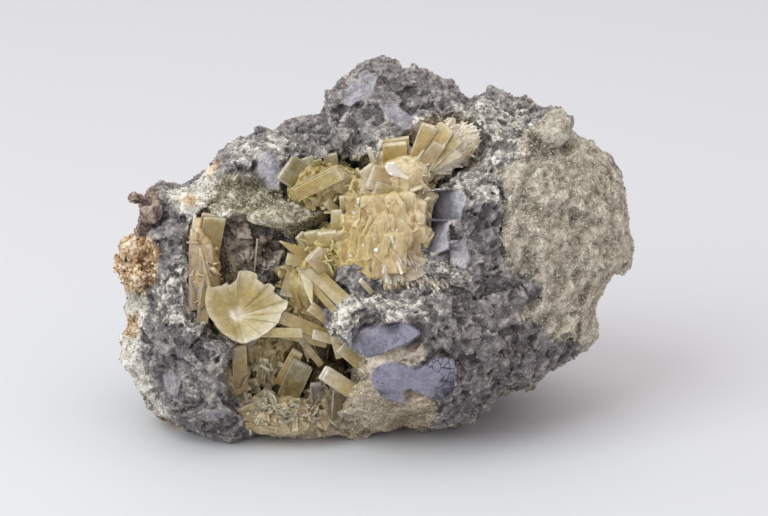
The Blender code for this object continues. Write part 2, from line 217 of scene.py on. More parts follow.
def crumbTemplate(seed, squash=0.75):
    random = np.random.default_rng(seed)
    shape = bmesh.new()
    bmesh.ops.create_icosphere(shape, subdivisions=1, radius=0.5)
    for vert in shape.verts:
        vert.co *= 1 + random.uniform(-crumbLook["uneven"], crumbLook["uneven"])
    bmesh.ops.scale(shape, vec=(1, 1, squash), verts=shape.verts)
    return shapeArrays(shape)


def cubeTemplate():
    shape = bmesh.new()
    bmesh.ops.create_cube(shape, size=1)
    return shapeArrays(shape)


def bladeTemplate():
    shape = bmesh.new()
    bmesh.ops.create_cube(shape, size=1)
    bmesh.ops.translate(shape, vec=(0, 0, 0.5), verts=shape.verts)
    end = max(shape.faces, key=lambda polygon: polygon.calc_center_median().z)
    bmesh.ops.scale(shape, vec=(bladeLook["spread"], 1, 1), verts=end.verts)
    tip = bmesh.ops.extrude_discrete_faces(shape, faces=[end])["faces"][0]
    bmesh.ops.translate(shape, vec=bladeLook["tipShift"], verts=tip.verts)
    bmesh.ops.scale(shape, vec=bladeLook["tipSize"], verts=tip.verts)
    return shapeArrays(shape)


# Fields: soft noise, cells and broken facets, all in millimetres

def smoothStep(share):
    share = np.clip(share, 0, 1)
    return share * share * (3 - 2 * share)


fractalLook = {"fall": 0.8, "step": 2.1}


def noiseAt(points, size, shift, octaves=1):
    offset = Vector((shift, 0.3 * shift, 0))
    if octaves == 1:
        return np.array([noise.noise(Vector(point) / size + offset) for point in points])
    fall, step = fractalLook["fall"], fractalLook["step"]
    return np.array([noise.fractal(Vector(point) / size + offset, fall, step, octaves) for point in points])


def cellsAt(points, size, shift):  # distance to the nearest cell centre, and a number for the cell
    offset = Vector((shift, 0, 0))
    found = [noise.voronoi(Vector(point) / size + offset) for point in points]
    nearest = np.array([distances[0] for distances, centres in found])
    value = np.array([math.sin(centres[0].dot((12.9, 78.2, 37.7))) for distances, centres in found])
    return nearest, value


def facetsAt(points, cell, seed):  # flat tilted pieces with steps between them
    random = np.random.default_rng(seed)
    low, high = points.min(axis=0) - cell, points.max(axis=0) + cell
    count = int(np.prod((high - low) / cell))
    centres = random.uniform(low, high, (count, 3))
    tilts, steps = random.normal(0, 0.7, (count, 3)), random.uniform(-0.5, 0.5, count)
    tree = kdtree.KDTree(count)
    for index, centre in enumerate(centres):
        tree.insert(centre, index)
    tree.balance()
    nearest = np.array([tree.find(point)[1] for point in points])
    return steps[nearest] + ((points - centres[nearest]) * tilts[nearest]).sum(axis=1) / cell


def apartFrom(points, centre, halfSizes):  # 0 in the middle of an oval on the face, 1 at its rim
    return np.hypot(*((points[:, :2] - centre) / halfSizes).T)


def outlineDepth(x, u, corners):  # millimetres inside the outline, negative outside
    corners = np.array(corners, float)
    inside, depth = np.zeros(len(x), bool), np.full(len(x), 1e9)
    for start, end in zip(corners, np.roll(corners, -1, axis=0)):
        along = end - start
        share = (((x - start[0]) * along[0] + (u - start[1]) * along[1]) / (along @ along)).clip(0, 1)
        depth = np.minimum(depth, np.hypot(x - start[0] - share * along[0], u - start[1] - share * along[1]))
        crosses = (start[1] > u) != (end[1] > u)
        rise = along[1] if along[1] else 1e-9
        inside ^= crosses & (x < start[0] + (u - start[1]) * along[0] / rise)
    return np.where(inside, depth, -depth)


# Areas of the rock, outlined on the face (x, u) in millimetres
rockAreas = {
    "rind": [[
        (26, 21), (28, 21), (29, 17.5), (33.5, 15.5), (36, 11.5), (39, 6.5), (39, -1.5), (36, -5), (34, -9.5),
        (34, -14), (28, -12.5), (25.5, -12), (24.5, -10), (22, -9.5), (21.5, -7.5), (24, -6.5), (24.5, -4.5),
        (22.5, -3), (20, -2.5), (19, -1), (18.5, 3.5), (18.5, 6), (19.5, 8.5), (17.5, 11.5), (18.5, 12.5),
        (21, 13.5), (22, 17.5), (24, 19),
    ]],
    "white": [
        [(6, 19.5), (14.5, 19.5), (16, 17.5), (14, 16), (14.5, 14), (11, 13.5), (8.5, 12.5), (7.5, 10.5),
         (6, 13.5)],
        [(4, 11.5), (8, 12.5), (8.5, 9), (8, 5.5), (7, 3.5), (5.5, 7)],
        [(-30, 9.5), (-26, 10), (-25.5, 12), (-23, 13), (-22.5, 9), (-24, 7), (-26, 5), (-28.5, 6.5)],
        [(-22.5, 6), (-20.5, 6.5), (-20.5, 5.5), (-22, 4.5)],
        [(-5.5, -9), (-4.5, -7.5), (-2.5, -7.5), (-4.5, -9.5), (-5, -12), (-6, -10.5)],
        [(-36.5, -4.5), (-33.5, -5.5), (-32, -6.5), (-33.5, -11), (-33.5, -15.5), (-32, -19), (-30.5, -22),
         (-28.5, -24.5), (-30, -24.5), (-33.5, -21), (-38, -16), (-38.5, -9.5)],
    ],
    "frost": [
        [(-5.5, -9), (-4.5, -6.5), (-1.5, -5.5), (2.5, -6), (7.5, -6.5), (8.5, -9), (2.5, -9.5), (-2, -10),
         (-4, -12)],
        [(-31.5, -4.5), (-27.5, -1), (-25, -3), (-21.5, -8.5), (-18, -11), (-22.5, -12.5), (-27.5, -10),
         (-31.5, -9.5)],
        [(12, 21.5), (18, 22.5), (24, 20), (22.5, 15.5), (19, 12.5), (15.5, 10.5), (11.5, 13)],
        [(9, 10), (14, 12), (18, 9.5), (18, 7), (14, 7), (12.5, 5), (10, 8.5)],
        [(8.5, -1.5), (13.5, -0.5), (14.5, -4.5), (8.5, -6)],
        [(-2, 16), (2, 16.5), (2, 13.5), (-2, 13)],
        [(-21, 16.5), (-12, 17.5), (-10, 15), (-13, 13.5), (-20, 13.5)],
    ],
    "ochre": [
        [(-38.5, 2.5), (-35, 3), (-32, 2.5), (-30.5, 0.5), (-31, -4), (-33.5, -6), (-36.5, -5.5), (-39, -1)],
        [(-28, 8.5), (-26, 8.5), (-25.5, 7), (-27.5, 7)],
        [(-24, 13), (-22, 13.5), (-22, 12), (-23.5, 11.5)],
        [(-36.5, -9.5), (-34, -8.5), (-34, -12), (-36, -12)],
    ],
    "umber": [
        [(-36, 10), (-32.5, 10.5), (-30.5, 8), (-30, 5.5), (-32, 4.5), (-32, 2.5), (-34, 2.5), (-36, 5.5)],
    ],
    "shelf": [
        [(-24.5, 9.5), (-21, 11.5), (-16.5, 11), (-12.5, 8.5), (-10, 8), (-7.5, 8), (-5, 7), (-4, 5.5),
         (-5, 3.5),
         (-7.5, 2.5), (-10, 2), (-12.5, 3), (-15.5, 4), (-18, 5), (-21, 5.5), (-24, 6)],
        [(-24, 0.5), (-21, 1), (-18.5, -2), (-19.5, -4.5), (-23, -4)],
    ],
    "beige": [[
        (-4, -13.5), (-2, -14.5), (0, -14.5), (3.5, -13.5), (8, -13), (7.5, -14.5), (3.5, -15.5), (0.5, -16),
        (0, -18), (1.5, -20.5), (4.5, -21), (4.5, -19.5), (7.5, -20.5), (9.5, -21), (8.5, -25.5), (4, -27),
        (-1.5, -28), (-15.5, -28), (-16.5, -24.5), (-10, -24), (-5.5, -22.5), (-4.5, -19.5),
    ]],
    "strip": [[
        (-1, -15), (1, -15), (3.5, -14), (5.5, -13), (7, -12.5), (8, -13.5), (7.5, -15), (5.5, -16),
         (3.5, -15),
        (1, -15.5), (0, -16),
    ]],
    "inclusion": [[
        (4.5, -19.5), (6, -19.5), (7.5, -20.5), (9, -21), (9, -21.5), (7.5, -22), (7, -22.5), (5.5, -21.5),
    ]],
    "ovalShade": [[(-3, -12.5), (-2.5, -11), (-1, -10), (1, -10), (0, -11.5), (-1, -13), (-2, -13.5)]],
    "crackle": [[(7.5, -14.5), (12.5, -14), (13, -18), (12, -21.5), (8.5, -22), (8, -19.5)]],
    # darker over the left lobe, the lower right and the knob at the top right: partly the rock's own darker
    # tone, partly painted shade where it faces down or away from the light
    "dim": [
        [(-32, -10), (-27, -9), (-22, -12), (-19, -16), (-18, -24), (-22, -27), (-30, -25), (-35, -18)],
        [(10, -8), (18, -6), (26, -10), (33, -14), (26, -22), (14, -24), (11, -20), (13, -14), (9, -12)],
        [(22.5, 20.5), (29, 21.5), (29, 14.5), (22.5, 14)],
    ],
    # dark band left of the rind's border: dark galena with a painted shadow beside the rind's raised edge
    "dark": [[(13.5, 6.75), (18.2, 7), (18.2, 0.25), (16.25, -1.25), (14, 1.5)]],
    # painted shadow in the recess under the shelf
    "dusk": [[
        (-21.5, 5.5), (-18, 4.5), (-14.5, 2.5), (-12, 1), (-12.5, -1), (-16, -2.5), (-19.5, -1.5), (-21, 1.5),
    ]],
}

# Smooth cleavage faces: outline on the face, and how far each stands out
cleavageFaces = {
    "upper oval": ([(-2.75, -12.25), (-1.25, -10.5), (1.25, -10), (4.5, -9.5), (6.5, -10.5), (7, -11.25),
                    (5.5, -12.5), (3, -13.5), (0.5, -14.5), (-1, -14.75), (-2.25, -13.5)], 0.15),
    "lower oval": ([(-0.25, -17.5), (0.5, -16.25), (2, -15.25), (3.5, -15.25), (5.5, -16), (6.25, -16.5),
                    (7, -16.25), (8, -15.25), (9.25, -14.5), (11.5, -14.75), (12.25, -16.25), (11.5, -19.5),
                    (10.5, -20.5), (8.25, -20.5), (5.5, -19.25), (4.5, -19.5), (5, -21), (4, -21.5),
                    (2, -20.5), (0.5, -19)], 0.15),
    "side upper": ([(7.6, 8.8), (13.0, 9.2), (13.6, 7.7), (12.4, 4.9), (7.6, 4.9)], 0.05),
    "side lower": ([(7.4, 4.7), (11.0, 4.7), (11.0, 0.6), (9.5, 0.0), (7.2, 0.8)], 0.05),
    "side foot": ([(11.0, 1.0), (13.3, 2.1), (14.2, -0.8), (13.3, -2.2), (11.2, -1.5)], 0.05),
    "silver": ([(6.5, 12.5), (9.5, 13.25), (11.5, 12.5), (10.5, 11.25), (7.25, 11.5)], 0.1),
    "hump side": ([(-4.5, 21.75), (-3.25, 25), (-0.5, 26.25), (1, 25.75), (0, 23), (-3, 21.25)], 0.0),
    "hump streak": ([(1, 21.25), (3.5, 21.75), (6, 19.5), (5.75, 17.5), (3, 18.75)], 0.0),
    "purple": ([(-16.75, 14.5), (-14.5, 15), (-13.25, 12), (-13, 9), (-14.75, 9), (-16.25, 11.75)], 0.1),
    "lobe left": ([(-30.25, -17.5), (-28.75, -16.75), (-27.25, -18.25), (-27.75, -20.5), (-29.75, -20)], 0.1),
    "lobe foot": ([(-24, -22.5), (-22.25, -22), (-21, -23), (-22, -23.75), (-23.75, -23.5)], 0.1),
    "lobe end": ([(-19.25, -23.5), (-18.25, -23.25), (-17.75, -24.5), (-19, -24.75)], 0.1),
    "lobe top": ([(-28.25, -14), (-27, -13.75), (-26.75, -14.75), (-27.75, -15.25)], 0.1),
}

# painted light: the lower oval gets its own lighter tones, for a face that tilts down away from the lamps
rockAreas["lowOval"] = [cleavageFaces["lower oval"][0]]
# painted light: the side cleavage faces get lighter tones than the other cleavage faces, as they turn away
# from the key lamp
rockAreas["facets"] = [cleavageFaces["side upper"][0], cleavageFaces["side lower"][0]]

hiddenLook = {  # the sides and the back: where they begin, the rind's border and wander, and the patches
    "begins": (4, 6), "frontEnds": (-5, 5), "frontFall": 6, "outside": 3,
    "rindFrom": 23, "rindSlant": 0.2, "rindWander": (9, 11), "rindMost": 8,
    "white": (9, 9, 3.2), "rust": (8, 9, 3.6), "rustLeft": (18, 0.08),
}
borderLook = {"size": 1.6, "ragged": 0.6, "soft": 0.8}


def areaDepths(points):  # signed depth of each area at the points, in millimetres
    x, u, f = points.T
    ends, length = hiddenLook["frontEnds"]
    front = hiddenLook["frontFall"] * (1 - smoothStep((f - ends) / length))
    depths = {}
    for name, outlines in rockAreas.items():
        depths[name] = np.max([outlineDepth(x, u, outline) for outline in outlines], axis=0) - front
    begins, length = hiddenLook["begins"]
    behind = smoothStep((begins - f) / length)
    outside = hiddenLook["outside"] * (1 - behind)
    size, amount = hiddenLook["rindWander"]
    wander = amount * noiseAt(points, size, 4.0, 3)
    side = (x - hiddenLook["rindFrom"] + hiddenLook["rindSlant"] * f + wander) * behind
    depths["rind"] = np.maximum(depths["rind"], np.minimum(side - outside, hiddenLook["rindMost"]))
    size, amount, bar = hiddenLook["white"]
    patches = noiseAt(points, size, 17.0) * amount - bar
    depths["white"] = np.maximum(depths["white"], patches * behind - outside)
    size, amount, bar = hiddenLook["rust"]
    start, growth = hiddenLook["rustLeft"]
    rust = noiseAt(points, size, 29.0) * amount - bar + (-x - start) * growth
    depths["ochre"] = np.maximum(depths["ochre"], rust * behind - outside)
    for kind in ("oval", "cleavage"):
        outlines = [cleavageFaces[name][0] for name in cleavageFaces if ("oval" in name) == (kind == "oval")]
        depths[kind] = np.max([outlineDepth(x, u, outline) for outline in outlines], axis=0) - front
    return depths


def areaWeights(points, depths):
    ragged = borderLook["ragged"] * noiseAt(points, borderLook["size"], 5.0, 3)
    return {name: smoothStep((depth + ragged) / borderLook["soft"] + 0.5) for name, depth in depths.items()}


rockLook = {
    "voxel": 0.30, "smoothing": 4, "triangles": 190000, "pullIn": 0.25, "groundFade": 0.8,
    "facets": [(4.2, 5, 0.55, 0.5), (1.7, 6, 0.24, 0.25), (0.9, 7, 0.12, 0.2)],  # cell, seed, height, least
    "roughness": (2.2, 0.2, 0.6), "bigCells": 1.25, "smallCells": 0.62, "cellEdge": 0.45, "shelfEdge": 0.5,
    "pits": 0.45, "pitted": 0.6, "pitSlope": 0.3, "rindLumps": 0.32, "rindGrain": 0.2,
    "rindSwell": (4.5, 0.45), "shelfGrain": 0.3, "galenaGrain": 0.1, "cleavageCalm": 0.92,
    "cleavageEdge": (0.15, 0.35), "fewest": 12, "reliefRounds": 8, "reliefReach": 0.8, "fieldReach": 4,
}

# Lumps that stand on the rock: centre (x, u, f) and half sizes
rockLumps = [
    ((-1.7, -3.0, 12.0), (3.7, 2.6, 3.4)), ((-0.2, -1.9, 12.4), (2.0, 1.7, 3.0)),
    ((-4.4, 16.2, 10.2), (1.5, 1.5, 1.8)), ((-2.0, 14.4, 9.4), (2.1, 1.6, 2.2)),
    ((-9.2, 15.9, 9.8), (1.9, 1.7, 2.0)), ((-7.2, 14.6, 9.4), (1.4, 1.2, 1.8)),
    ((-34.6, 0.9, 7.0), (2.2, 2.0, 2.0)), ((-34.2, -3.4, 7.0), (2.1, 2.2, 2.0)),
    ((-35.6, -1.2, 5.5), (1.6, 2.4, 2.4)), ((25.6, 17.2, 10.2), (2.8, 2.5, 2.8)),
    ((27.0, 19.0, 9.0), (2.2, 2.0, 2.6)), ((-13.5, 5.2, 11.6), (4.6, 1.6, 1.8)),
    ((-34.2, 8.2, 6.0), (1.6, 1.4, 1.8)), ((-32.0, 6.4, 6.8), (1.7, 1.8, 2.0)),
    ((10.9, 3.2, 9.6), (3.0, 6.4, 4.0)),
]

# Cleavage blocks of galena: centre (x, u, f), half sizes, turns about x, u and f in degrees
rockBlocks = [
    ((10.4, 6.9, 13.0), (2.9, 2.1, 2.2), (-10, -4, 4)), ((9.2, 2.4, 13.4), (1.9, 2.4, 2.2), (-8, 0, -6)),
    ((12.9, -0.4, 14.2), (1.8, 2.2, 2.2), (-8, 8, 10)), ((12.6, 3.2, 13.2), (1.6, 1.8, 2.2), (-8, 10, 0)),
]

blockLook = {  # millimetres and degrees
    "count": 700, "low": 0.4, "high": 1.15, "stretch": (0.6, 1.4), "grain": (18, -24, 31), "scatter": 9,
    "sink": 0.6, "clearOf": 0.8, "shades": ("frost", "dim", "dusk", "dark"), "ground": 2, "seed": 41,
}


def rockDisplacement(points, weights):
    others = ("rind", "shelf", "beige", "white", "cleavage", "oval")
    galena = 1 - np.max([weights[name] for name in others], axis=0)
    height = np.zeros(len(points))
    for cell, seed, amount, least in rockLook["facets"]:
        height += facetsAt(points, cell, seed) * amount * (least + (1 - least) * galena)
    size, amount, least = rockLook["roughness"]
    height += noiseAt(points, size, 2.0, 4) * amount * (least + (1 - least) * galena)
    edge = rockLook["cellEdge"]
    near, value = cellsAt(points, rockLook["bigCells"], 3.0)
    pitted = (value > rockLook["pitted"]) * (galena + 0.6 * weights["rind"])
    height -= smoothStep((edge - near) / rockLook["pitSlope"]) * rockLook["pits"] * pitted
    height += (edge - near) * rockLook["rindLumps"] * weights["rind"]
    near = cellsAt(points, rockLook["smallCells"], 8.0)[0]
    stony = weights["rind"] + weights["white"] + 0.5 * weights["beige"]
    height += (edge - near) * rockLook["rindGrain"] * stony
    height += (rockLook["shelfEdge"] - near) * rockLook["shelfGrain"] * weights["shelf"]
    height += (edge - near) * rockLook["galenaGrain"] * galena
    size, amount = rockLook["rindSwell"]
    height += noiseAt(points, size, 41.0, 3) * amount * weights["rind"]
    flat = np.maximum(weights["cleavage"], weights["oval"])
    return (height - rockLook["pullIn"]) * (1 - rockLook["cleavageCalm"] * flat)


def flattenCleavage(points):  # onto one plane within each outline
    x, u, f = points.T
    outside, width = rockLook["cleavageEdge"]
    for outline, lift in cleavageFaces.values():
        depth = outlineDepth(x, u, outline)
        chosen = (depth > 0) & (f > 0)
        if chosen.sum() < rockLook["fewest"]:
            continue
        base = np.column_stack([x[chosen], u[chosen], np.ones(chosen.sum())])
        plane = np.linalg.lstsq(base, f[chosen], rcond=None)[0]
        level = plane[0] * x + plane[1] * u + plane[2] + lift
        weight = smoothStep((depth + outside) / width) * (f > 0)
        f += (level - f) * weight
    return np.column_stack([x, u, f])


def reliefOf(mesh, rounds):  # how far each point stands out from its surroundings, in millimetres
    points, normals = readPoints(mesh), readNormals(mesh)
    edges = np.empty(len(mesh.edges) * 2, np.int32)
    mesh.edges.foreach_get("vertices", edges)
    first, second = edges.reshape(-1, 2).T
    count = np.bincount(edges, minlength=len(points))[:, None].clip(1)
    soft = points.copy()
    for turn in range(rounds):
        total = np.zeros_like(soft)
        for axis in range(3):
            total[:, axis] = np.bincount(first, soft[second, axis], len(soft)) + np.bincount(
                second, soft[first, axis], len(soft))
        soft = total / count
    return ((points - soft) * normals).sum(axis=1) / mm


# The relief field is how far each point stands out; the materials paint shade into the hollows from it.
def writeRelief(mesh, look):
    relief = reliefOf(mesh, look["reliefRounds"]) / look["reliefReach"]
    writeField(mesh, "relief", np.clip(0.5 + relief, 0, 1))


def ellipsoid(centre, halfSizes, turn=0.0):
    shape = bmesh.new()
    bmesh.ops.create_icosphere(shape, subdivisions=3, radius=1)
    bmesh.ops.scale(shape, vec=halfSizes, verts=shape.verts)
    placed = Matrix.Translation(centre) @ Matrix.Rotation(math.radians(turn), 4, "Z")
    bmesh.ops.transform(shape, matrix=placed, verts=shape.verts)
    points, faces = shapeArrays(shape)
    return faceToWorld(points), faces


def turned(degrees):
    about = [Matrix.Rotation(math.radians(angle), 3, axis) for angle, axis in zip(degrees, "XYZ")]
    return np.array(about[2] @ about[1] @ about[0])


def addBlocks(gather, mesh):  # cubes and steps of galena, most of them lying the same way
    points, faces = cubeTemplate()
    for centre, halfSizes, degrees in rockBlocks:
        addToGather(gather, faceToWorld(points * 2 * halfSizes @ turned(degrees).T + centre), faces, {})
    random = np.random.default_rng(blockLook["seed"])
    places, normals = samplePlaces(mesh, np.ones(len(mesh.vertices)), blockLook["count"], random)
    spots = worldToFace(places)
    depths = areaDepths(spots)
    inAreas = np.max([depths[name] for name in depths if name not in blockLook["shades"]], axis=0)
    bare = (inAreas < -blockLook["clearOf"]) & (places[:, 2] > blockLook["ground"] * mm)
    for place, normal in zip(places[bare], normals[bare]):
        degrees = np.array(blockLook["grain"]) + random.normal(0, blockLook["scatter"], 3)
        sizes = random.uniform(blockLook["low"], blockLook["high"]) * random.uniform(*blockLook["stretch"], 3)
        sunk = place - normal * blockLook["sink"] * sizes.max() * mm
        addToGather(gather, sunk + points * 2 * sizes * mm @ turned(degrees).T, faces, {})


def makeRock():
    shape = bmesh.new()
    shape.from_mesh(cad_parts["galena_matrix"].data)
    bmesh.ops.remove_doubles(shape, verts=shape.verts, dist=1e-6)
    gather = newGather()
    addBlocks(gather, meshFrom(shape.copy(), "blockBase"))
    addToGather(gather, *shapeArrays(shape), {})
    for centre, halfSizes in rockLumps:
        addToGather(gather, *ellipsoid(centre, halfSizes), {})
    rock = gatherObject("galenaRock", gather)
    voxelRemesh(rock, rockLook["voxel"], rockLook["smoothing"])
    world, normals = readPoints(rock.data), readNormals(rock.data)
    points = worldToFace(world)
    height = rockDisplacement(points, areaWeights(points, areaDepths(points)))
    lying = smoothStep(world[:, 2] / (rockLook["groundFade"] * mm))  # the flat underside stays flat
    world += normals * (height * lying * mm)[:, None]
    writePoints(rock.data, faceToWorld(flattenCleavage(worldToFace(world))))
    thinOut(rock, rockLook["triangles"])
    points = worldToFace(readPoints(rock.data))
    depths = areaDepths(points)
    for name, depth in depths.items():
        writeField(rock.data, name, np.clip(0.5 + depth / rockLook["fieldReach"], 0, 1))
    writeRelief(rock.data, rockLook)
    print("rock:", len(rock.data.polygons), "faces")
    return rock, areaWeights(points, depths)


# Grains on the rock's surface

grainLook = {
    "ground": 0.4, "behind": 0.45, "shape": (1.4, 3), "stretch": (0.75, 1.25), "bare": 1.6, "onWhite": 0.3,
    "rind": {"count": 9000, "low": 0.15, "high": 0.45, "rise": 0.0, "seed": 31},
    "galena": {"count": 8000, "low": 0.12, "high": 0.36, "rise": -0.2, "seed": 32},
    "shelf": {"count": 4200, "low": 0.16, "high": 0.4, "rise": 0.1, "seed": 33},
    "crust": {"count": 3000, "low": 0.18, "high": 0.5, "rise": 0.0, "seed": 35},
    "nodules": {"count": 520, "low": 0.25, "high": 0.8, "rise": 0.2, "seed": 34},
}


def makeGrains(rock, kind, template, weight):
    look = grainLook[kind]
    random = np.random.default_rng(look["seed"])
    places = readPoints(rock.data)
    front = worldToFace(places)[:, 2] > 0
    offGround = places[:, 2] >= grainLook["ground"] * mm
    share = grainLook["behind"] + (1 - grainLook["behind"]) * front
    places, normals = samplePlaces(rock.data, weight * share * offGround, look["count"], random)
    size = (look["low"] + (look["high"] - look["low"]) * random.beta(*grainLook["shape"], look["count"])) * mm
    stretch = random.uniform(*grainLook["stretch"], (look["count"], 3))
    places += normals * (size * look["rise"])[:, None]
    turns = randomTurns(random, look["count"])
    return scatterObject(kind + "Grains", template, places, turns, size[:, None] * stretch,
                         {"tone": random.uniform(0, 1, look["count"])})


tints = {
    "honey": "d2c284", "lemon": "c5b36e", "peach": "dccaa0", "pale": "e4dabc", "olive": "aca26a",
    "amber": "d6c080", "brown": "988c5c", "smoke": "beb084", "white": "f2eee2", "umber": "685839",
    "rose": "dcc8a6",
}

